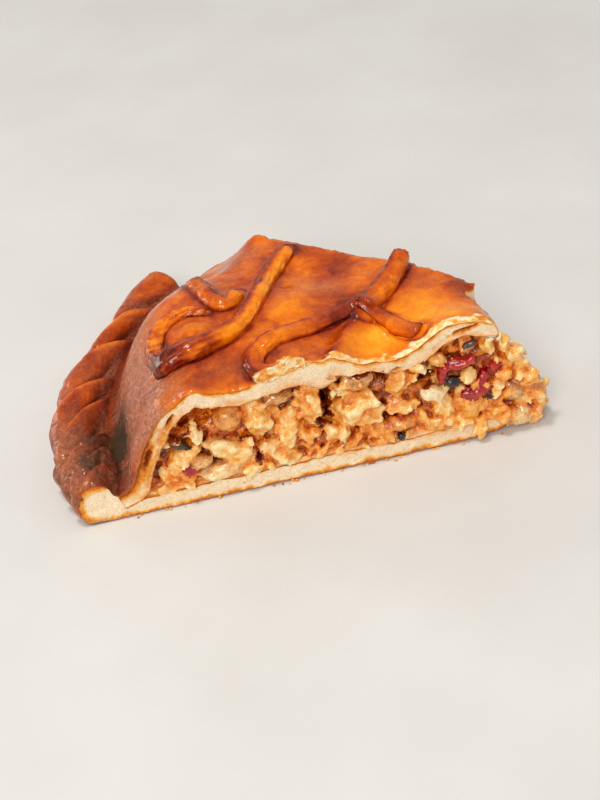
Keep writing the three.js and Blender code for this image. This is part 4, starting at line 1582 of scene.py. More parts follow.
@dataclass
class BottomCrust:
    """The base sheet and the rim it is folded up into.

    Attributes:
        rim_columns: Steps over the rim, from outermost to the valley.
        sheet_columns: Steps from the valley to the blunt end.
        rows: Steps from the front cut to the back cut.
        layers: Steps through its thickness at an edge.
    """

    rim_columns: int = 72
    sheet_columns: int = 236
    rows: int = 300
    layers: int = 16

    def rim_grid(self, turn: Array, across: Array) -> tuple[Array, Array]:
        """Places on the rim, held between the two cuts, and each one's share along its fold.

        Args:
            turn: The turn about the section of each grid place.
            across: 0 at the front cut, 1 at the back cut.

        Returns:
            The places and the shares.
        """
        angle = lerp(front_angle(108.0), back_angle(106.0), across)
        for _ in range(6):
            radius, height, share = rim_section(angle, turn)
            angle = lerp(front_angle(radius), back_angle(radius), across)
        radius, height, share = rim_section(angle, turn)
        x = RIM_CENTRE[0] + radius * np.cos(angle)
        y = RIM_CENTRE[1] + radius * np.sin(angle)
        return stack(x, y, height), share

    def build(self) -> Shape:
        """Builds the base's mesh, with its values for the finish.

        Returns:
            The finished shape.
        """
        across = np.linspace(0, 1, self.rows + 1)
        rim_share = np.linspace(0, 1, self.rim_columns + 1)
        turn, rim_across = np.meshgrid(rim_share * math.pi, across, indexing="ij")
        over, fold = self.rim_grid(turn, rim_across)
        half = self.rim_columns // 2
        under_turn = np.where(rim_share < 0.5, -rim_share * math.pi, -math.pi / 2)
        under, _ = self.rim_grid(np.repeat(under_turn[:, None], self.rows + 1, 1), rim_across)
        valley = stack(*plan_point(0.0, np.zeros_like(across), across), 0.0)
        reach = np.linspace(0, 1, self.rim_columns - half + 1)[:, None, None]
        under[half:] = lerp(under[half].copy(), valley, reach)
        along, sheet_across = np.meshgrid(np.linspace(0, 1, self.sheet_columns + 1), across, indexing="ij")
        x, y = plan_point(-1.0, along, sheet_across)
        top = np.concatenate([over, stack(x, y, base_height(x, y))])
        bottom = np.concatenate([under, stack(x, y, 0.0)])
        fold_share = np.concatenate([fold, np.zeros_like(x)])
        self.relief(top, bottom, fold_share)
        return self.close(Slab(top, bottom, self.layers), fold_share)

    def relief(self, top: Array, bottom: Array, fold: Array) -> None:
        """Adds the fine unevenness of hand-folded dough to both grids.

        Args:
            top: The upper grid.
            bottom: The lower grid.
            fold: The share along its fold of each upper place.
        """
        rim = self.rim_columns
        core = top[: rim + 1].copy()
        flat = core[..., :2] - RIM_CENTRE
        radius = np.linalg.norm(flat, axis=-1, keepdims=True)
        ring = RIM_CENTRE + flat / radius * RIM_CORE_RADIUS
        way = core - np.concatenate([ring, np.full_like(radius, RIM_CORE_HEIGHT)], -1)
        way /= np.maximum(np.linalg.norm(way, axis=-1, keepdims=True), 1e-6)
        crease = hump((fold[: rim + 1] - FOLD_DROP) / 0.07)
        near_front = smoothstep(angle_of(core[..., 0], core[..., 1]), math.radians(179), math.radians(188))
        amount = 0.6 * rough(core, 5.5, 71) + 0.14 * rough(core, 1.2, 72) - 0.6 * crease
        amount = amount + near_front * (1.2 * rough(core, 4.6, 104) + 0.3 * rough(core, 1.6, 105))
        over = np.linspace(0, 1, rim + 1)[:, None]
        fade = smoothstep(over, 0.0, 0.08) * (1 - smoothstep(over, 0.9, 1.0))
        row = np.arange(self.rows + 1)
        rounding = 0.35 * (hump(row / 2.0) + hump((self.rows - row) / 2.0))
        top[: rim + 1] += way * ((amount - rounding) * fade)[..., None]
        top[: rim + 1, 0, 1] = 0
        top[: rim + 1, -1, 1] = back_cut_y(top[: rim + 1, -1, 0])
        skin = 0.5 * (1 + rough(bottom, 1.5, 73)) * smoothstep(self.edge_closeness(bottom), 0.0, 1.0)
        bottom[..., 2] = np.maximum(bottom[..., 2], 0) + skin
        tail = smoothstep(bottom[..., 0], 120.0, FRONT_CUT_END) * self.edge_closeness(bottom)
        bottom[rim:, :, 2] += (2.4 * tail * (0.7 + 0.5 * rough(bottom, 3.0, 92)))[rim:]
        sheet = top[rim + 1 :]
        uneven = 0.6 * rough(sheet, 2.4, 91) + 0.9 * rough(sheet, 10.0, 98)
        sheet[..., 2] += uneven * hump(np.maximum(sheet[..., 1], 0) / 3.0)

    @staticmethod
    def edge_closeness(places: Array) -> Array:
        """1 next to a cut and 0 well inside."""
        inside = np.minimum(places[..., 1], behind_back_cut(places[..., 0], places[..., 1]))
        return hump(np.maximum(inside, 0) / 2.5)

    def close(self, slab: Slab, fold: Array) -> Shape:
        """Closes the base's edges and gives every vertex its values.

        Args:
            slab: The upper and lower grids.
            fold: The share along its fold of each upper place.

        Returns:
            The finished shape.
        """
        edge = slab.edge()
        places, between, top, bottom = edge.places, edge.between, edge.top, edge.bottom
        rim, half = self.rim_columns, self.rim_columns // 2 + 2
        spot = places[between]
        frill = 0.75 * np.clip(rough(spot, 1.1, 103) + 0.1, 0, 1) * np.exp(-edge.from_bottom / 0.9)
        sunk = edge.crumb() - frill * (edge.share < 0.97) * smoothstep(spot[..., 0], 4.0, 12.0)
        outermost = edge.ring[:, 0] == 0
        sunk[:, outermost] = 0
        edge.sink(sunk)
        faces = grid_faces(top[: rim + 3]) + grid_faces(top[rim + 2 :], 6)
        faces += grid_faces(bottom[: half + 1], 1, flip=True) + grid_faces(bottom[half:], 6, flip=True)
        faces += ring_faces(edge.rings, outermost & (np.roll(edge.ring[:, 0], -1) == 0))
        values = crust_values(len(places))
        cut, rind, stain, bake, _, matt_and_sheen = values.values()
        cut[between] = 1.0
        rind[between], stain[between] = self.cut_face(edge, spot)
        rind[edge.rings[0]] = 1.0
        sheet_top = top[rim + 1 :].ravel()
        cut[sheet_top] = 1.0
        stain[sheet_top] = np.clip(0.25 + 0.8 * rough(places[sheet_top], 5.0, 97), 0.0, 0.7)
        bake[:] = self.bake(places)
        self.brown(edge, fold, values)
        bake[bottom[half:].ravel()] = 0.5
        outer = bottom[:half].ravel()
        bake[outer] -= 0.06
        # The rim's underside is matt and takes the painted mauve-grey reflection.
        matt_and_sheen[outer] = np.clip(0.5 + 0.4 * rough(places[outer], 6.0, 109), 0.1, 0.7)
        return Shape(places, faces, values).compact()

    @staticmethod
    def cut_face(edge: Edge, spot: Array) -> tuple[Array, Array]:
        """How browned and how soaked the cut faces are.

        Args:
            edge: The base's edge.
            spot: The places between its grids before they were sunk.

        Returns:
            The rind, 0 to 1, and the stain, 0 to 0.5.
        """
        x, y, z = parts(spot)
        radius = np.hypot(x - RIM_CENTRE[0], y - RIM_CENTRE[1])
        out, up = radius - RIM_CUT_RADIUS, z - RIM_CORE_HEIGHT
        from_rind = (1 - np.hypot(out / RIM_CUT_SIZE[0], up / RIM_CUT_SIZE[1])) * RIM_CUT_SIZE[0]
        way = np.arctan2(up, out)
        exposed = (1 - smoothstep(way, 1.9, 2.4)) * smoothstep(way, -2.2, -1.5)
        uneven = 1 + 0.5 * rough(spot, 2.2, 74)
        rim_rind = np.clip(0.92 - np.maximum(from_rind, 0) / (4.4 * uneven), 0, 1)
        rim_rind = rim_rind * smoothstep(radius, 101.0, 102.5) * exposed
        thick = 0.35 + 0.9 * np.clip(0.5 + 0.9 * rough(spot, 4.0, 93), 0, 1) * uneven
        skin_rind = np.clip(np.exp(-edge.from_bottom / thick) * 1.15, 0, 1)
        soaked = 0.2 + np.clip(0.3 + rough(spot, 6.0, 94), 0, 1) * uneven + 1.2 * smoothstep(x, 100.0, 132.0)
        stain = np.clip(np.exp(-edge.from_top / soaked) * smoothstep(x, 20.0, 30.0), 0, 0.5)
        return np.maximum(rim_rind, skin_rind), stain

    def brown(self, edge: Edge, fold: Array, values: dict[str, Array]) -> None:
        """Bakes, mattes and burns the outside of the rim, fold by fold, with painted shade in its creases and
        valley and a painted mauve-grey reflection on its matt skin.

        Args:
            edge: The base's edge.
            fold: The share along its fold of each upper place.
            values: The finish's values, which are changed.
        """
        places = edge.places
        on_rim = edge.top[: self.rim_columns + 1].ravel()
        folds, rim_top, inward = np.zeros((3, len(places)))
        folds[edge.top.ravel()] = fold.ravel()
        rim_top[on_rim] = 1
        inward[on_rim] = np.repeat(np.linspace(0, 1, self.rim_columns + 1), edge.top.shape[1])
        ridge = hump((1 - folds) / 0.12) + hump(folds / 0.06)
        crease = hump((folds - FOLD_DROP - 0.03) / 0.1)
        near_front = smoothstep(angle_of(places[:, 0], places[:, 1]), math.radians(172), math.radians(184))
        low = 1 - smoothstep(places[:, 2], 5.0, 17.0)
        # Darker in each fold's crease: painted shade. Lighter along each ridge: partly drier crust and partly
        # painted highlight.
        values["bake"] += rim_top * (0.34 * crease - 0.2 * ridge)
        # Darker towards the valley between rim and lid: painted shade in the crevice.
        values["bake"] += 0.42 * smoothstep(inward, 0.62, 0.95)
        values["bake"] += 0.26 * near_front * smoothstep(inward, 0.3, 0.6)
        # shade here is how much painted mauve-grey reflection the matt skin takes, more low down and near the
        # front cut.
        shade = 0.1 + 0.3 * rough(places, 7.0, 90) - 0.15 * ridge + 0.65 * low
        shade = shade + 0.6 * near_front * (1.1 - 1.3 * inward)
        values["matt_and_sheen"][:] = rim_top * np.clip(shade, 0, 0.62)
        burnt = np.maximum(self.char(places), 0.6 * low * near_front * (1 + rough(places, 3.0, 107)))
        burnt = np.maximum(burnt, 0.34 * near_front * (1 - inward) * (1 + rough(places, 5.0, 110)))
        values["char"][:] = burnt * rim_top

    @staticmethod
    def bake(places: Array) -> Array:
        """How dark the rim is baked.

        Args:
            places: The places.

        Returns:
            About 0 to 1 for each.
        """
        far = 1 - smoothstep(angle_of(places[..., 0], places[..., 1]), math.radians(146), math.radians(162))
        low = 1 - smoothstep(places[..., 2], 4.0, 14.0)
        # Darker towards the bottom and lighter at the far end.
        return 0.66 - 0.12 * far + 0.22 * rough(places, 9.0, 75) + 0.22 * low

    @staticmethod
    def char(places: Array) -> Array:
        """Where the rim is burnt."""
        burnt = paint(places[..., 0], places[..., 1], RIM_BURNT_SPOTS)
        return np.clip(burnt * (0.75 + 1.2 * rough(places, 1.6, 76)), 0, 1)


# ---- Strands of dough on the lid ----


@dataclass
class DoughStrand:
    """A rolled strand of dough laid on the lid.

    Attributes:
        name: The solid that it stands for.
        arms: Each arm's route in plan, its radii at start, middle and end, and how far its end lifts.
        seed: Its own unevenness.
        step: The length of one step along it.
        sides: Steps round it.
    """

    name: str
    arms: tuple[tuple[Table, tuple[float, float, float], float], ...]
    seed: int
    step: float = 0.45
    sides: int = 40

    def arm(self, route: Table, radii: tuple[float, float, float], lift: float) -> Shape:
        """One arm of the strand.

        Args:
            route: Its route in plan.
            radii: Its radius at the start, the middle and the end.
            lift: How far its end stands up off the lid.

        Returns:
            A closed shape.
        """
        plan = np.array(route, float)
        length = float(np.sum(np.linalg.norm(np.diff(plan, axis=0), axis=1)))
        steps, sides = int(length / self.step), self.sides
        at = catmull(plan, steps + 1)
        heading = np.gradient(at, axis=0)
        heading /= np.linalg.norm(heading, axis=1, keepdims=True)
        share = np.linspace(0, 1, steps + 1)
        radius = radius_along(radii, share)
        run = share * length
        end = np.minimum(run, length - run)
        cap = np.clip(1 - (1 - np.minimum(end / radius, 1)) ** 3, 0, 1) ** 0.42
        line = stack(run, 0.0, 0.0)
        lump = 1 + 0.12 * grain(line, 7.0, self.seed) + 0.05 * grain(line, 2.6, self.seed + 1)
        thick = (radius * cap * lump)[:, None]
        raised = lift * smoothstep(share, 0.5, 1.0)
        around = np.linspace(0, 2 * math.pi, sides, endpoint=False)
        cosine, sine = np.cos(around), np.sin(around)
        side = np.sign(cosine) * np.abs(cosine) ** 0.85 * thick
        height = np.sign(sine) * np.abs(sine) ** 0.82
        up = 0.8 * height * thick + np.minimum(height, 0) * (raised * cap)[:, None]
        level = lid_height(at[:, 0], at[:, 1]) + 0.32 * radius + raised
        right, back = heading[:, 1, None], -heading[:, 0, None]
        places = stack(at[:, 0, None] + right * side, at[:, 1, None] + back * side, level[:, None] + up)
        wrinkle = 0.5 * rough(stack(run[:, None] / 5, cosine * 3, sine * 3), 0.7, self.seed + 2)
        wrinkle = wrinkle + 0.28 * rough(places, 1.8, self.seed + 3)
        places = places + stack(right * cosine, back * cosine, sine) * (wrinkle * cap[:, None])[..., None]
        body = places[1:-1].reshape(-1, 3)
        tips = np.vstack([places[0].mean(0), places[-1].mean(0)])
        number = np.arange(len(body)).reshape(steps - 1, sides)
        ahead = np.roll(number, -1, axis=1)
        faces = np.stack([number[:-1], ahead[:-1], ahead[1:], number[1:]], -1).reshape(-1, 4).tolist()
        faces += [[len(body), int(b), int(a)] for a, b in zip(number[0], ahead[0])]
        faces += [[len(body) + 1, int(a), int(b)] for a, b in zip(number[-1], ahead[-1])]
        flank = np.append(np.tile(cosine, steps - 1), (0.0, 0.0))
        return Shape(np.vstack([body, tips]), faces, {"flank": flank})

    def bake(self, places: Array, flank: Array) -> Array:
        """How dark the strand is baked.

        Args:
            places: The places.
            flank: 1 on the right side of each arm, -1 on its left.

        Returns:
            About 0 to 1 for each.
        """
        x, y, z = places.T
        # Darker at the foot where the strand meets the lid: partly glaze pooled there and partly painted
        # shade.
        foot = 1 - smoothstep(z - lid_height(x, y), 0.2, 2.0)
        bake = 0.42 + 0.22 * rough(places, 6.0, self.seed + 5) + 0.3 * foot
        # The flank terms below make one side of a strand darker and the other lighter: painted shade and
        # painted light.
        if self.name == "strand_long":
            bake += 0.42 * smoothstep(flank, -0.2, 0.35) * smoothstep(y, 14, 30)
            bake -= 0.16 * smoothstep(-flank, -0.1, 0.5)
            bake += paint(x, y, LONG_STRAND_BAKE_SPOTS)
        else:
            bake += 0.24 * smoothstep(-flank, 0.1, 0.7)
        if self.name == "strand_fork":
            bake += 0.2 * smoothstep(x, 84.0, 92.0) - 0.12 * smoothstep(x, 99.0, 104.0)
            bake -= 0.1 * (1 - smoothstep(x, 74.0, 84.0)) * smoothstep(flank, -0.6, 0.3)
        # Light and dark streaks on the strands near the front-left: partly browning and partly painted
        # highlight.
        streaks = rough(stack((0.95 * x + 0.3 * y) / 7, 0.95 * y - 0.3 * x, z), 0.9, self.seed + 6)
        bake += 0.5 * (1 - smoothstep(x, 44.0, 58.0)) * streaks
        return bake + paint(x, y, STRAND_BAKE_SPOTS)

    def build(self) -> Shape:
        """Puts every arm in one mesh, with the values for the finish.

        Returns:
            The finished shape.
        """
        shapes = [self.arm(*arm) for arm in self.arms]
        starts = np.cumsum([0] + [len(shape.places) for shape in shapes]).tolist()
        faces = [[v + start for v in face] for shape, start in zip(shapes, starts) for face in shape.faces]
        joined = np.vstack([shape.places for shape in shapes])
        flank = np.concatenate([shape.values["flank"] for shape in shapes])
        x, y, _ = joined.T
        values = crust_values(len(joined))
        values["bake"][:] = self.bake(joined, flank)
        if self.name in ("strand_hook", "strand_crescent"):
            values["bake"] += 0.06
            # Matt patches on the hook and the crescent, with the painted mauve-grey reflection.
            values["matt_and_sheen"][:] = np.clip(paint(x, y, STRAND_MATT_SHEEN_SPOTS), 0, 0.6)
        wander = 1.5 * rough(joined, 2.0, 78)
        torn = smoothstep(wander - y, -5.0, -3.4)
        torn = torn * smoothstep(x + wander, 68.6, 70.2) * (1 - smoothstep(x + wander, 75.0, 77.0))
        values["cut"][:] = np.maximum(torn, smoothstep(-y, -0.3, 0.5))
        values["rind"][:] = values["cut"] * np.clip(0.34 + 0.6 * rough(joined, 1.4, 95), 0, 1)
        joined[:, 2] += torn * (0.9 + 1.1 * rough(joined, 2.4, 96))
        joined[:, 1] = np.maximum(joined[:, 1], 0.35 * rough(joined, 1.3, 84) - 0.3)
        return Shape(joined, faces, values)


STRANDS = tuple(
    DoughStrand(name, arms, 101 + 10 * number) for number, (name, arms) in enumerate(STRAND_ARMS.items())
)


# ---- The filling ----


def box_mean(values: Array, reach: int) -> Array:
    """The mean of each cell's neighbourhood in a field.

    Args:
        values: The field.
        reach: How many cells the neighbourhood has to every side.

    Returns:
        The means.
    """
    width = 2 * reach + 1
    for axis in range(3):
        margin = [(reach + 1, reach) if k == axis else (0, 0) for k in range(3)]
        sums = np.cumsum(np.pad(values, margin, "edge"), axis)
        high = np.take(sums, np.arange(width, sums.shape[axis]), axis)
        low = np.take(sums, np.arange(sums.shape[axis] - width), axis)
        values = (high - low) / width
    return values


@dataclass
class Morsel:
    """One piece of the filling.

    Attributes:
        kind: What it is.
        middle: Its middle in plan.
        size: Its size along, across and up before it is turned.
        lean: How far it leans over, to the right going up for a positive lean.
        turn: How far it is turned about the vertical.
        tone: How pale it is, -1 to 1.
    """

    kind: Kind
    middle: tuple[float, float, float]
    size: tuple[float, float, float]
    lean: float = 0.0
    turn: float = 0.0
    tone: float = 0.0


# How strongly each kind's skin is knobbled.
KNOBBLE = {Kind.CHICKEN: 0.8, Kind.SAUCE: 0.8, Kind.MUSHROOM: 0.15, Kind.POTATO: 0.15}


@dataclass
class Heap:
    """A box of space filled with morsels, as a field that is negative inside them.

    Attributes:
        low: The box's lowest corner.
        high: Its highest corner.
        cell: The size of one cell of the field.
    """

    low: tuple[float, float, float]
    high: tuple[float, float, float]
    cell: float

    def __post_init__(self) -> None:
        """Lays out the empty field."""
        shape = [int((b - a) / self.cell) + 1 for a, b in zip(self.low, self.high)]
        self.depth = np.full(shape, 9.0, np.float32)
        self.owner = np.zeros(shape, np.int32)
        self.morsels: list[Morsel] = []

    def axes(self, window: Sequence[slice] | None = None) -> Array:
        """The places of the field's cells.

        Args:
            window: A window of the box, or None for all of it.

        Returns:
            The places.
        """
        spans = [np.arange(n) for n in self.depth.shape]
        if window is not None:
            spans = [np.arange(part.start, part.stop) for part in window]
        lines = [(span * self.cell + low).astype(np.float32) for span, low in zip(spans, self.low)]
        return np.stack(np.meshgrid(*lines, indexing="ij"), -1)

    def window(self, middle: Sequence[float], reach: float) -> tuple[slice, ...] | None:
        """The part of the field near a place.

        Args:
            middle: The place.
            reach: How far from it counts as near.

        Returns:
            The part along each axis, or None where there is none.
        """
        result = []
        for k in range(3):
            a = int((middle[k] - reach - self.low[k]) / self.cell)
            b = int((middle[k] + reach - self.low[k]) / self.cell) + 2
            a, b = max(a, 0), min(b, self.depth.shape[k])
            if b - a < 2:
                return None
            result.append(slice(a, b))
        return tuple(result)

    def kinds(self) -> Array:
        """The kind that each number in the field of owners stands for, the sauce first."""
        return np.array([int(Kind.SAUCE)] + [int(morsel.kind) for morsel in self.morsels])

    def put(self, morsel: Morsel, seed: int) -> None:
        """Adds a morsel.

        Args:
            morsel: The morsel.
            seed: Its own unevenness.
        """
        held = self.window(morsel.middle, 0.62 * max(morsel.size) + 1.5)
        if held is None:
            return
        depth = morsel_field(self.local(self.axes(held), morsel), morsel, seed)
        self.morsels.append(morsel)
        self.owner[held] = np.where(depth < self.depth[held], len(self.morsels), self.owner[held])
        self.depth[held] = blend_min(self.depth[held], depth, 0.7)

    @staticmethod
    def local(places: Array, morsel: Morsel) -> Array:
        """Turns and leans places back to a morsel's own axes.

        Args:
            places: The places.
            morsel: The morsel.

        Returns:
            The places as the morsel has them.
        """
        offset = places - np.array(morsel.middle, np.float32)
        ct, st = math.cos(morsel.turn), math.sin(morsel.turn)
        x = offset[..., 0] * ct + offset[..., 1] * st
        y = -offset[..., 0] * st + offset[..., 1] * ct
        cl, sl = math.cos(morsel.lean), math.sin(morsel.lean)
        z = offset[..., 2]
        return np.stack([x * cl - z * sl, y, x * sl + z * cl], -1)

    def roughen(self) -> None:
        """Breaks the skin of the meat into small knobs and creases."""
        amounts = np.array([KNOBBLE.get(Kind(kind), 0.0) for kind in self.kinds()], np.float32)
        near = np.abs(self.depth) < 1.9
        at = self.axes()[near]
        amount = amounts[self.owner[near]]
        wander = np.stack([grain(at, 2.6, 93 + k) for k in range(3)], -1)
        coarse, _ = pits(at + 0.9 * wander, 2.5, 91)
        fine, _ = pits(at + 0.5 * wander, 1.25, 92)
        self.depth[near] += amount * (1.25 * (coarse - 0.5) + 0.5 * (fine - 0.5))

    def mesh(self) -> Shape:
        """Turns the filled space into a closed mesh.

        Returns:
            The mesh, with its kinds as slots and its values for the finish.
        """
        held = np.clip(self.depth, -3.0, 3.0)
        fine, broad = box_mean(held, 2), box_mean(held, 5)
        for side in (0, -1):
            self.depth[side] = 2.0
            self.depth[:, side] = 2.0
            self.depth[:, :, side] = 2.0
        grid = openvdb.FloatGrid(3.0)
        grid.copyFromArray(np.ascontiguousarray(self.depth))
        points, quads = grid.convertToQuads(isovalue=0.0)
        nearest = np.clip(np.rint(points).astype(int), 0, np.array(self.depth.shape) - 1)
        index = tuple(nearest.T)
        owner = self.owner[index]
        tones = np.array([0.0] + [morsel.tone for morsel in self.morsels])
        places = points * self.cell + np.array(self.low)
        # ridge: how far a place stands out of its neighbourhood; the finishes paint shade into the hollows and
        # highlights onto the ridges by it.
        scale = (0.45 / self.cell) ** 2
        ridge = np.clip(0.46 + scale * (0.42 * fine[index] + 0.38 * broad[index]), 0, 1)
        slots = self.kinds()[owner[quads[:, 0]]]
        return Shape(places, quads[:, ::-1].tolist(), {"ridge": ridge, "tone": tones[owner]}, slots)


def ball(local: Array, size: Array, half: float = 0.5) -> Array:
    """How far each place lies outside a round lump, near enough."""
    return (np.linalg.norm(local / (half * size), axis=-1) - 1) * float(size.min()) * half


def any_way(random: np.random.Generator) -> Array:
    """A direction at random."""
    way = random.normal(size=3)
    return way / np.linalg.norm(way)


def torn_side(local: Array, size: Array, random: np.random.Generator, near: float, far: float) -> Array:
    """A flat torn side at random across a lump."""
    way = any_way(random)
    return local @ way.astype(np.float32) - np.linalg.norm(way * size) * random.uniform(near, far)


def morsel_field(local: Array, morsel: Morsel, seed: int) -> Array:
    """How far each place lies outside a morsel, in its own axes.

    Args:
        local: The places.
        morsel: The morsel.
        seed: Its own unevenness.

    Returns:
        The field, negative inside.
    """
    random = np.random.default_rng(seed)
    size = np.array(morsel.size, np.float32)
    small = float(size.min())
    if morsel.kind in (Kind.PEPPER, Kind.OLIVE, Kind.ONION):
        bend = 0.06 * local[..., 0] ** 2 * (1 if seed % 2 else -1) / max(small, 2.0)
        shape = np.stack([local[..., 0], local[..., 1], local[..., 2] + bend], -1) / (0.5 * size)
        depth = (np.sum(np.abs(shape) ** 2.3, -1) ** (1 / 2.3) - 1) * small * 0.5
        return depth + (1.0 if morsel.kind is Kind.PEPPER else 0.6) * rough(local, 2.4, seed % 97, 3)
    if morsel.kind is Kind.MUSHROOM:
        return ball(local, size) + rough(local, 3.6, seed % 97, 3)
    if morsel.kind is Kind.POTATO:
        shape = np.abs(local) / (0.5 * size)
        depth = (np.sum(shape**2.6, -1) ** (1 / 2.6) - 1) * small * 0.5
        return depth + 0.6 * rough(local, 2.6, seed % 97, 3)
    if small > 3.4:
        return chunk_field(local, size, random, seed)
    depth = ball(local, size)
    if morsel.kind is Kind.SAUCE or size.max() < 4.0:
        return depth + 0.3 * rough(local, 1.6, seed % 89, 2)
    for _ in range(4):
        depth = np.maximum(depth, torn_side(local, size, random, 0.2, 0.4))
    return depth + 0.4 * rough(local, (4.0, 1.0, 1.0), seed % 89, 2)


def chunk_field(local: Array, size: Array, random: np.random.Generator, seed: int) -> Array:
    """The field of a chunk of meat: lumps along one grain, grown together, with a few torn flat sides.

    Args:
        local: The places in the chunk's own axes.
        size: The chunk's size along each of them.
        random: Where its chances come from.
        seed: Its own unevenness.

    Returns:
        The field, negative inside.
    """
    mean = float(size.mean())
    run = random.normal(size=3) * size
    run = (run / np.linalg.norm(run)).astype(np.float32)
    depth = ball(local, size, 0.41)
    for _ in range(int(7 + mean)):
        way = any_way(random)
        offset = local - (way * size * random.uniform(0.22, 0.4)).astype(np.float32)
        pull = np.float32(1 - 1 / random.uniform(1.0, 2.4))
        offset = offset - (offset @ run)[..., None] * run * pull
        lump = np.linalg.norm(offset, axis=-1) - random.uniform(0.12, 0.23) * mean
        depth = blend_min(depth, lump, 0.9)
    for _ in range(4):
        depth = np.maximum(depth, torn_side(local, size, random, 0.32, 0.44))
    side = np.cross(run, [0.0, 0.6, 0.8])
    side = (side / np.linalg.norm(side)).astype(np.float32)
    grained = np.stack([local @ run, local @ side, local @ np.cross(run, side).astype(np.float32)], -1)
    depth = depth + 0.36 * rough(grained, (5.0, 1.1, 1.1), seed % 89, 2)
    return depth + 0.3 * rough(local, 3.0, seed % 83, 2)


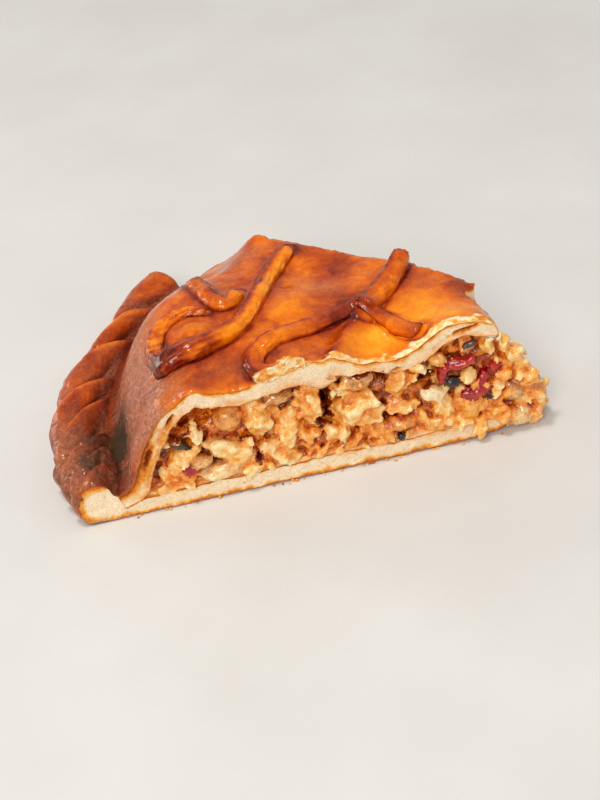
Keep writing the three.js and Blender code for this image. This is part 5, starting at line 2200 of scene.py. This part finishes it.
# The placed pieces at the front cut: kind, middle in plan, size, lean, turn and tone.
FRONT_TABLE = (
    (Kind.CHICKEN, 35.5, 3.6, 18.5, 12, 9, 6, -0.35, 0, 0.3),
    (Kind.CHICKEN, 39.6, 3.4, 25.2, 5.4, 7, 6.4, 0.2, 0, 0.4),
    (Kind.ONION, 46.5, 2.6, 9.4, 16, 7, 6.5, -0.12, 0, 0.2),
    (Kind.CHICKEN, 50, 4.0, 15, 16, 9, 8, 0.8, 0, 0.55),
    (Kind.MUSHROOM, 50.3, 4.8, 27.6, 9, 9, 9.5, 0.0, 0, -0.3),
    (Kind.CHICKEN, 60.3, 4.6, 25.5, 9.5, 10, 17, 0.1, 0, 0.2),
    (Kind.CHICKEN, 68.6, 4.6, 20.5, 10, 10, 17, 0.1, 0, 0.4),
    (Kind.ONION, 66.5, 6.0, 32.0, 11, 9, 5.5, 0.1, 0, -0.6),
    (Kind.CHICKEN, 77.5, 5.2, 26.5, 11, 10.5, 16.5, 0.0, 0, 0.2),
    (Kind.CHICKEN, 91, 5.4, 20.5, 18.5, 11.5, 18, 0.2, 0, 0.3),
    (Kind.ONION, 92.5, 6.6, 31.4, 11, 10, 7.5, 0.1, 0, -0.3),
    (Kind.CHICKEN, 105.5, 5.0, 27.8, 11, 10.5, 13.5, 0.1, 0, -0.1),
    (Kind.CHICKEN, 106, 4.4, 17.5, 11, 8, 6.5, 0.1, 0, 0.0),
    (Kind.ONION, 116, 2.0, 21.2, 8.6, 5, 5.4, 0.35, 0, 0.5),
    (Kind.CHICKEN, 127.4, 1.6, 25.8, 6.4, 5, 5, 0.3, 0, 0.3),
    (Kind.CHICKEN, 118.2, 3.8, 16.5, 6, 8, 12.5, -0.3, 0, 0.4),
    (Kind.PEPPER, 124.6, 2.6, 30.6, 11, 5, 3.8, -0.15, 0, 0.0),
    (Kind.PEPPER, 119.6, 2.4, 28.4, 3.4, 4, 6.4, 0.3, 0, 0.1),
    (Kind.PEPPER, 130, 2.4, 18.6, 10, 6, 6.4, -0.35, 0, 0.0),
    (Kind.PEPPER, 132.4, 2.0, 23.4, 3.6, 4, 6.4, 0.5, 0, 0.1),
    (Kind.CHICKEN, 127, 4.6, 15, 13, 9, 8, 0.1, 0, 0.0),
    (Kind.PEPPER, 35.2, 1.4, 13.0, 5.6, 4, 4.0, 0.2, 0, 0.2),
    (Kind.ONION, 39.5, 2.4, 14.4, 7.5, 5, 4.5, 0.1, 0, -0.2),
    (Kind.OLIVE, 33.6, 1.8, 24.0, 7.5, 4, 3.4, 0.65, 0, 0.0),
    (Kind.OLIVE, 122.2, 1.4, 24.6, 6.6, 4, 3.6, 0.1, 0, 0.0),
    (Kind.OLIVE, 134.6, 1.2, 16.0, 3.4, 3, 2.4, 0.1, 0, 0.0),
    (Kind.OLIVE, 129, 0.6, 38.4, 4.8, 2.6, 2.2, -0.25, 0, 0.0),
    (Kind.OLIVE, 103.8, 0.2, 8.2, 2.5, 2.5, 2.5, 0.0, 0, -0.6),
    (Kind.PEPPER, 136.4, 1.6, 27.0, 4.4, 3.4, 3.4, 0.4, 0, 0.2),
    (Kind.ONION, 104, 3.2, 11.6, 9, 6, 5, 0.0, 0, -0.3),
    (Kind.CHICKEN, 130.2, 0.2, 5.2, 4.2, 4.4, 9, -0.12, 0, -0.4),
    (Kind.CHICKEN, 111, 1.5, 33.5, 8, 5, 4, 0.3, 0, 0.1),
    (Kind.CHICKEN, 99, 1.2, 34.4, 4, 4, 3.4, 0.0, 0, 0.4),
    (Kind.CHICKEN, 82.6, 2.5, 14.5, 7, 5, 4.5, 0.9, 0, 0.4),
    (Kind.CHICKEN, 136.5, 2.2, 38.4, 7, 6, 5, 0.5, 0, 0.0),
    (Kind.CHICKEN, 139.5, 2.6, 35.0, 6, 6, 5, -0.6, 0.3, -0.2),
    (Kind.CHICKEN, 137.5, 0.6, 6.2, 8, 4.4, 4.2, 0.1, 0, -0.3),
    (Kind.CHICKEN, 122.5, 0.4, 7.2, 7, 3.6, 2.6, 0.2, 0, -0.2),
    (Kind.CHICKEN, 54.5, 0.6, 8.0, 5.5, 4.2, 6.5, 0.5, 0, 0.4),
    (Kind.CHICKEN, 143, 3.0, 29.5, 8, 8, 7, 0.6, 0, 0.2),
    (Kind.CHICKEN, 144.4, 3.5, 22.0, 7.5, 8, 8, -0.4, 0, 0.1),
    (Kind.CHICKEN, 146.4, 4.0, 13.4, 10, 9, 11, 0.3, 0, 0.2),
    (Kind.CHICKEN, 148.6, 4.0, 6.6, 6.5, 7, 6, -0.2, 0, 0.0),
    (Kind.CHICKEN, 136.8, 2.2, 19.0, 11, 6, 5, -0.9, 0, 0.4),
    (Kind.POTATO, 127.0, 2.8, 11.2, 7, 6, 6, 0.1, 0, 0.0),
    (Kind.CHICKEN, 118.5, 2.2, 9.6, 14, 6, 5, 0.15, 0, 0.2),
    (Kind.CHICKEN, 139.8, 2.6, 25.5, 6, 6, 8, 0.2, 0, -0.1),
    (Kind.CHICKEN, 141.0, 3.0, 15.4, 6.5, 6, 6.5, 0.3, 0, -0.2),
    (Kind.CHICKEN, 142.0, 3.0, 7.4, 8, 6, 5, 0.1, 0, -0.3),
    (Kind.CHICKEN, 135.2, 2.0, 10.0, 8, 5, 4.5, 0.2, 0, -0.3),
    (Kind.CHICKEN, 132.6, 3.0, 20.0, 6, 6, 6, 0.2, 0, 0.0),
)
FRONT_MORSELS = tuple(
    Morsel(kind, (x, y, z), (long, deep, tall), lean, turn, tone)
    for kind, x, y, z, long, deep, tall, lean, turn, tone in FRONT_TABLE
)


# Hollows at the front cut, carved and painted dark as shade: x, height, half width and half height.
CAVITIES = (
    (42.4, 30.6, 2.0, 3.2), (34.0, 27.6, 3.4, 1.8), (73.4, 36.0, 6.5, 1.4), (81.4, 28.0, 1.6, 4.2),
    (80.5, 20.6, 2.6, 1.8), (95.0, 35.4, 5.0, 1.5), (99.8, 32.4, 1.8, 3.2), (58.0, 11.4, 0.8, 1.3),
    (113.6, 25.6, 2.2, 1.2),
)
FILLING_DEPTH = 13.5  # how far behind a cut the finer filling goes
FRONT_SEED, BACK_SEED, CRUMB_SEED = 300, 700, 900  # the first seed of each heap's morsels
BARE_STRETCH = (37, 53)  # where along the front cut no chance pieces lie in front of the placed ones
BACK_KINDS = [Kind.CHICKEN] * 14 + [Kind.ONION, Kind.ONION, Kind.PEPPER, Kind.MUSHROOM]


def spill_edge(y: Array | float, z: Array | float) -> Array:
    """How far along x the spilled filling reaches at a distance back and a height."""
    return read_table(SPILL_OUTLINE, z + SPILL_LEAN * y)


@dataclass
class Filling:
    """The chopped chicken filling between base and lid.

    Attributes:
        cell: The size of the field's cells along the front, in millimetres.
        back_cell: Their size along the back cut.
        lumps: How many middling lumps lie at the front cut.
        bits: How many small bits lie there.
        flakes: How many scraps lie there.
        spill: How many lumps are tried past the blunt end.
        back_lumps: How many large lumps lie at the back cut.
        back_bits: How many small ones lie there.
    """

    cell: float = 0.52
    back_cell: float = 0.5
    lumps: int = 46
    bits: int = 80
    flakes: int = 70
    spill: int = 130
    back_lumps: int = 46
    back_bits: int = 184

    def front(self) -> Shape:
        """Builds the filling that shows at the front cut and past the blunt end.

        Returns:
            The finished shape.
        """
        heap = Heap((8.0, -3.6, -3.5), (155.6, 27.6, 47.5), self.cell)
        random = np.random.default_rng(5)
        scattered = self.rubble(random) + self.mince(random) + self.scraps(random) + self.spilled(random)
        for seed, morsel in enumerate([*FRONT_MORSELS, *scattered], FRONT_SEED):
            heap.put(morsel, seed)
        self.sauce(heap, front=True)
        heap.roughen()
        self.hollow(heap)
        self.trim(heap)
        return heap.mesh()

    @staticmethod
    def hollow(heap: Heap) -> None:
        """Carves the hollows into the front of the lumps and paints their walls near-black as shade.

        Args:
            heap: The space.
        """
        at = heap.axes()
        bumpy = 0.35 * rough(at, 1.8, 108, 2)
        # A near-black sauce for the hollows' walls: painted shade.
        heap.morsels.append(Morsel(Kind.SAUCE, (0, 0, 0), (1, 1, 1), tone=-2.2))
        for cave_x, cave_z, wide, tall in CAVITIES:
            away = np.hypot((at[..., 0] - cave_x) / wide, (at[..., 2] - cave_z) / tall)
            carve = (1.0 - away + bumpy) * min(wide, tall)
            carve = np.minimum(carve, 9.0 - at[..., 1]).astype(np.float32)
            heap.owner[(carve > -0.5) & (heap.depth > -3.0)] = len(heap.morsels)
            heap.depth = np.maximum(heap.depth, carve)

    def rubble(self, random: np.random.Generator) -> list[Morsel]:
        """Middling lumps, most of them low in the front cut.

        Args:
            random: Where its chances come from.

        Returns:
            The lumps.
        """
        lumps = []
        for number in range(self.lumps):
            x = 28 + 106 * (number + random.uniform(0, 1)) / self.lumps
            if BARE_STRETCH[0] < x < BARE_STRETCH[1]:
                continue
            size = random.uniform(4.6, 8.0)
            z = room(x, 2.0)[0] + 0.4 * size + abs(random.normal()) * 3.6
            shape = size * random.uniform(0.75, 1.25, 3)
            tone = random.uniform(-0.8, 0.7)
            y = 0.5 * size + random.uniform(0.2, 2.2)
            lumps.append(Morsel(Kind.CHICKEN, (x, y, z), tuple(shape), random.uniform(-1, 1), 0.0, tone))
        return lumps

    def mince(self, random: np.random.Generator) -> list[Morsel]:
        """Small bits scattered over the front cut.

        Args:
            random: Where its chances come from.

        Returns:
            The bits.
        """
        bits = []
        for _ in range(self.bits):
            x = random.uniform(26, 136)
            if BARE_STRETCH[0] < x < BARE_STRETCH[1]:
                continue
            low, high = room(x, 2.0)
            z = low + (high - low) * random.uniform(0.02, 0.86)
            size = random.uniform(3.0, 7.5)
            shape = (size, size * random.uniform(0.45, 0.8), random.uniform(1.8, 4.0))
            kind = Kind(random.choice([Kind.CHICKEN] * 11 + [Kind.ONION]))
            y = 1.2 + 0.3 * size + abs(random.normal()) * 1.6
            lean, turn = random.uniform(-1.4, 1.4), random.uniform(-1, 1)
            bits.append(Morsel(kind, (x, y, z), shape, lean, turn, random.uniform(-0.7, 0.7)))
        return bits

    def scraps(self, random: np.random.Generator) -> list[Morsel]:
        """Small round scraps, every other one along the foot of the front cut.

        Args:
            random: Where its chances come from.

        Returns:
            The scraps.
        """
        bits = []
        for number in range(self.flakes):
            x = random.uniform(25, 137)
            if BARE_STRETCH[0] < x < BARE_STRETCH[1]:
                continue
            at_foot = number % 2 == 1
            size = random.uniform(1.6, 3.6)
            y = 0.1 + 0.5 * size + abs(random.normal()) * 1.2
            if at_foot:
                y -= 1.0
            low, high = room(x, y)
            z = low + (0.35 * size if at_foot else (high - low) * random.uniform(0.05, 0.85))
            shape = tuple(size * random.uniform(0.7, 1.5, 3))
            kind = Kind.SAUCE if random.random() < 0.3 else Kind.CHICKEN
            lean, turn = random.uniform(-1, 1), random.uniform(-1, 1)
            bits.append(Morsel(kind, (x, y, z), shape, lean, turn, random.uniform(-0.7, 0.6)))
        return bits

    def spilled(self, random: np.random.Generator) -> list[Morsel]:
        """The clump that has spilled past the blunt end.

        Args:
            random: Where its chances come from.

        Returns:
            The lumps.
        """
        lumps = []
        for _ in range(self.spill):
            y = random.uniform(0.5, 25.5)
            z = random.uniform(1.5, 38.0)
            size = random.uniform(4.0, 8.5)
            x = float(spill_edge(y, z)) - size * random.uniform(0.38, 0.5)
            x -= 0.0 if random.random() < 0.8 else random.uniform(0, 9)
            if x < 131 or (x < 139 and z < 6):
                continue
            shape = size * random.uniform(0.6, 1.25, 3) if size > 5.4 else size * np.array([1.0, 0.6, 0.35])
            kind = Kind.CHICKEN if random.random() < 0.93 else Kind.ONION
            lean, turn = random.uniform(-1.4, 1.4), random.uniform(-1.5, 1.5)
            lumps.append(Morsel(kind, (x, y, z), tuple(shape), lean, turn, random.uniform(-0.7, 0.5)))
        return lumps

    @staticmethod
    def sauce(heap: Heap, front: bool) -> None:
        """Fills the space behind the morsels with thick sauce and fine mince.

        Args:
            heap: The space.
            front: True for the front cut and the blunt end, False for the back cut.
        """
        at = heap.axes()
        x, y, z = parts(at)
        plan = at[:, :, 0, :]
        low = base_height(plan[..., 0], plan[..., 1])[..., None]
        high = lid_underside(plan[..., 0], plan[..., 1])[..., None]
        lumps = rough(at, 4.2, 81, 3)
        fine = rough(at, 1.3, 82, 2)
        inside = y if front else behind_back_cut(x, y)
        recess = 5.4 + 2.0 * lumps - 4.2 * np.exp(-np.maximum(z - low, 0) / 2.4)
        recess = recess + 3.6 * np.exp(-np.maximum(high - z, 0) / 2.6)
        if front:
            for cave_x, cave_z, wide, tall in CAVITIES:
                recess = recess + 8.0 * hump(np.hypot((x - cave_x) / wide, (z - cave_z) / tall) / 1.5)
        depth = (recess - inside) + 0.5 * fine
        if front:
            edge = spill_edge(y, z) - 4.8 + 1.4 * lumps + 0.7 * fine
            past = np.maximum(x - edge, -(x - 126.0))
            shelf = np.maximum(past, np.maximum(3.4 + 1.8 * lumps - y, 0.9 - z))
            depth = np.minimum(depth, np.where(x > 126.0, shelf, 9.0))
            depth = np.maximum(depth, x - edge)
            depth = np.maximum(depth, 1.2 - z)
        wedge = 20.0 - x + 2.0 * lumps
        depth = np.maximum(depth, wedge * 0.6)
        far = inside - FILLING_DEPTH
        near_end = 9.0 * smoothstep(x, 118.0, 128.0) if front else 0.0
        depth = np.maximum(depth, far - near_end)
        if not front:
            depth = np.maximum(depth, x - spill_edge(y, z) + 5.0)
        nearer = depth < heap.depth
        minced = rough(at, 2.6, 83, 2) > np.where(x > 130.0, -0.35, 0.3)
        heap.morsels.append(Morsel(Kind.CHICKEN, (0, 0, 0), (1, 1, 1), tone=-0.6))
        heap.owner[nearer] = np.where(minced, len(heap.morsels), 0)[nearer]
        heap.depth = blend_min(heap.depth, depth.astype(np.float32), 0.6)

    @staticmethod
    def trim(heap: Heap) -> None:
        """Keeps the filling between base and lid, inside the back cut and off the floor.

        Args:
            heap: The space.
        """
        at = heap.axes()
        x, y, z = parts(at)
        plan_x, plan_y = at[:, :, 0, 0], np.maximum(at[:, :, 0, 1], 0)
        low = base_height(plan_x, plan_y)[..., None] - 0.25
        high = lid_underside(plan_x, plan_y)[..., None] + 0.35
        over_base = (x < FRONT_CUT_END + 0.1) & (y > -0.2)
        under_lid = (x < LID_END_AT_FRONT) & (y > -0.2)
        heap.depth = np.where(over_base, np.maximum(heap.depth, low - z), heap.depth)
        heap.depth = np.where(under_lid, np.maximum(heap.depth, z - high), heap.depth)
        heap.depth = np.maximum(heap.depth, -behind_back_cut(x, y) - 0.6)
        heap.depth = np.maximum(heap.depth, np.where(x > FRONT_CUT_END, 0.2 - z, -9.0)).astype(np.float32)

    def back(self) -> Shape:
        """Builds the filling that shows at the back cut.

        Returns:
            The finished shape.
        """
        heap = Heap((20.0, 8.0, 2.0), (142.0, 100.0, 46.0), self.back_cell)
        random = np.random.default_rng(9)
        for number in range(self.back_lumps + self.back_bits):
            large = number < self.back_lumps
            reach = 118 * random.uniform(0.05, 1.0)
            size = random.uniform(7, 13) if large else random.uniform(1.8, 4.5)
            inside = 0.42 * size + (0.2 if large else abs(random.normal()) * 1.6)
            x = BACK_CUT_END[0] + BACK_CUT_RUN[0] * reach - BACK_CUT_OUT[0] * inside
            y = BACK_CUT_END[1] + BACK_CUT_RUN[1] * reach - BACK_CUT_OUT[1] * inside
            low, high = room(x, y)
            z = low + (high - low) * random.uniform(0.05, 0.9)
            shape = size * random.uniform(0.75, 1.25, 3)
            kind = Kind(random.choice(BACK_KINDS))
            if kind is Kind.PEPPER:
                shape = shape * 0.7
            lean, turn = random.uniform(-1.4, 1.4), random.uniform(-1.5, 1.5)
            tone = random.uniform(-0.5, 0.8)
            heap.put(Morsel(kind, (x, y, z), tuple(shape), lean, turn, tone), BACK_SEED + number)
        self.sauce(heap, front=False)
        heap.roughen()
        self.trim(heap)
        x, y, _ = parts(heap.axes())
        heap.depth = np.maximum(heap.depth, behind_back_cut(x, y) - FILLING_DEPTH).astype(np.float32)
        return heap.mesh()


# ---- Crumbs ----


@dataclass
class Crumbs:
    """Small crumbs that lie along the foot of the front cut.

    Attributes:
        count: How many there are.
        cell: The size of the field's cells, in millimetres.
    """

    count: int = 48
    cell: float = 0.2

    def build(self) -> Shape:
        """Builds all of them as one mesh, with the values for the crust's finish.

        Returns:
            The finished shape.
        """
        heap = Heap((14.0, -4.0, -0.2), (140.0, 0.2, 1.6), self.cell)
        random = np.random.default_rng(17)
        for number in range(self.count):
            size = random.uniform(0.4, 0.9)
            place = (random.uniform(16, 138), -0.1 - abs(random.normal()) * 0.6, 0.3 * size)
            heap.put(Morsel(Kind.SAUCE, place, tuple(size * random.uniform(0.7, 1.5, 3))), CRUMB_SEED + number)
        heap.depth = np.maximum(heap.depth, -heap.axes()[..., 2] + 0.02)
        shape = heap.mesh()
        values = crust_values(len(shape.places))
        values["cut"][:] = 1.0
        values["rind"][:] = np.clip(0.6 + 0.6 * rough(shape.places, 3.0, 106), 0.1, 1)
        return Shape(shape.places, shape.faces, values)


# ---- Floor, light and camera ----


def stance(right: Array, up: Array, back: Array, place: Array) -> Matrix:
    """How the camera or a light stands."""
    return Matrix(np.column_stack([right, up, back, place]).tolist() + [[0.0, 0.0, 0.0, 1.0]])


LAMP_AIM = (0.0, 0.0, 0.02)
LAMP_COLOUR = (1.0, 0.97, 0.93)


@dataclass(frozen=True)
class Lamp:
    """A soft square light that looks at the food.

    Attributes:
        name: Its name.
        place: Where it is, in metres.
        size: Its side, in metres.
        power: Its power in watts.
    """

    name: str
    place: tuple[float, float, float]
    size: float
    power: float

    def build(self) -> None:
        """Makes the light."""
        data = bpy.data.lights.new(self.name, "AREA")
        data.shape = "SQUARE"
        data.size = self.size
        data.energy = self.power
        data.color = LAMP_COLOUR
        way = np.array(LAMP_AIM) - np.array(self.place)
        way /= np.linalg.norm(way)
        right = np.cross(way, [0.0, 0.0, 1.0])
        right /= np.linalg.norm(right)
        light = bpy.data.objects.new(self.name, data)
        light.matrix_world = stance(right, np.cross(right, way), -way, np.array(self.place))
        bpy.context.scene.collection.objects.link(light)


LAMPS = (
    Lamp("key", (-0.4, -0.95, 0.85), 0.45, 7.4),
    Lamp("back_left", (-0.95, 0.7, 0.35), 0.5, 3.6),
    Lamp("overhead", (-0.15, -0.1, 1.1), 0.22, 5.0),
)


@dataclass(frozen=True)
class Studio:
    """The plain floor, the soft lights and the camera.

    Attributes:
        azimuth: The camera's turn about the vertical, in degrees.
        elevation: Its height angle, in degrees.
        roll: Its roll, in degrees.
        distance: Its distance from what it looks at, in millimetres.
        target: What it looks at, in plan.
        lens: Its focal length, in millimetres.
        sensor: Its sensor's width, in millimetres.
        floor_size: Half the floor's side, in millimetres.
        floor_drop: How far the floor lies below the food, in millimetres.
        surroundings: How bright the surroundings are.
    """

    azimuth: float = -5.72
    elevation: float = 38.0
    roll: float = 9.0
    distance: float = 515.1
    target: tuple[float, float, float] = (74.9, 14.8, 20.0)
    lens: float = 72.0
    sensor: float = 36.0
    floor_size: float = 2200.0
    floor_drop: float = 0.02
    surroundings: float = 0.48

    def camera(self) -> None:
        """Makes the camera and gives it to the scene."""
        azimuth, elevation, roll = (math.radians(a) for a in (self.azimuth, self.elevation, self.roll))
        flat, rise = math.cos(elevation), math.sin(elevation)
        back = np.array([math.sin(azimuth) * flat, -math.cos(azimuth) * flat, rise])
        right = np.array([math.cos(azimuth), math.sin(azimuth), 0.0])
        up = np.cross(right, -back)
        rolled_right = math.cos(roll) * right - math.sin(roll) * up
        rolled_up = math.sin(roll) * right + math.cos(roll) * up
        place = (np.array(self.target) + back * self.distance - np.array(PIECE_MIDDLE)) * MM
        data = bpy.data.cameras.new("camera")
        data.lens = self.lens
        data.sensor_width = self.sensor
        data.clip_start = 0.01
        data.clip_end = 20.0
        camera = bpy.data.objects.new("camera", data)
        camera.matrix_world = stance(rolled_right, rolled_up, back, place)
        bpy.context.scene.collection.objects.link(camera)
        bpy.context.scene.camera = camera

    def floor(self) -> None:
        """Makes the pale floor."""
        r = Recipe("floor")
        colour = r.ramp(r.noise(60.0, 3.0), ((0.3, tint(211, 209, 205)), (0.7, tint(217, 216, 213))))
        relief = r.bump(r.noise(1.2, 3.0, 0.0, (6.0, 1.0, 1.0)), 0.03)
        r.finish(colour, 0.75, relief, Specular_IOR_Level=0.2)
        signs = np.array([[-1, -1], [1, -1], [1, 1], [-1, 1]])
        corners = stack(*(signs.T * self.floor_size), -self.floor_drop)
        floor = Shape(corners + np.array(PIECE_MIDDLE), [[0, 1, 2, 3]]).to_object("floor", [r.material])

    def lights(self) -> None:
        """Makes the lights and the pale surroundings."""
        world = bpy.data.worlds.new("surroundings")
        world.use_nodes = True
        ground = world.node_tree.nodes["Background"]
        ground.inputs["Color"].default_value = (1.0, 0.98, 0.95, 1.0)
        ground.inputs["Strength"].default_value = self.surroundings
        bpy.context.scene.world = world
        for lamp in LAMPS:
            lamp.build()


# ---- Putting it together ----


def dress(piece: bpy.types.Object, slot: str, *nodes: str) -> None:
    """Makes a piece ride with the food and stand for its solids.

    Args:
        piece: The piece.
        slot: The name of the material slot that it takes its finish from; not used.
        *nodes: The solids that it stands for.
    """
    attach(piece, "root")
    if nodes:
        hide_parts(*nodes)
    LOG.info("%s: %d faces", piece.name, len(piece.data.polygons))


def main() -> None:
    """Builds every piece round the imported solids."""
    logging.basicConfig(level=logging.INFO, format="%(message)s")
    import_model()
    bpy.context.scene.view_settings.view_transform = "Standard"
    studio = Studio()
    studio.camera()
    studio.lights()
    studio.floor()
    crust = GlazedCrust().material()
    dress(BottomCrust().build().to_object("base_and_rim", [crust]), "bottom_crust", "bottom_crust")
    dress(TopCrust().build().to_object("lid", [crust]), "top_crust", "top_crust")
    for strand in STRANDS:
        dress(strand.build().to_object(f"{strand.name}_dough", [crust]), "dough_strand", strand.name)
    kinds = [finish.material() for finish in FILLING_FINISHES]
    filling = Filling()
    dress(filling.front().to_object("filling_front", kinds), "filling", "filling")
    dress(filling.back().to_object("filling_back", kinds), "filling")
    dress(Crumbs().build().to_object("crumbs", [crust]), "bottom_crust")


if __name__ == "__main__":
    main()
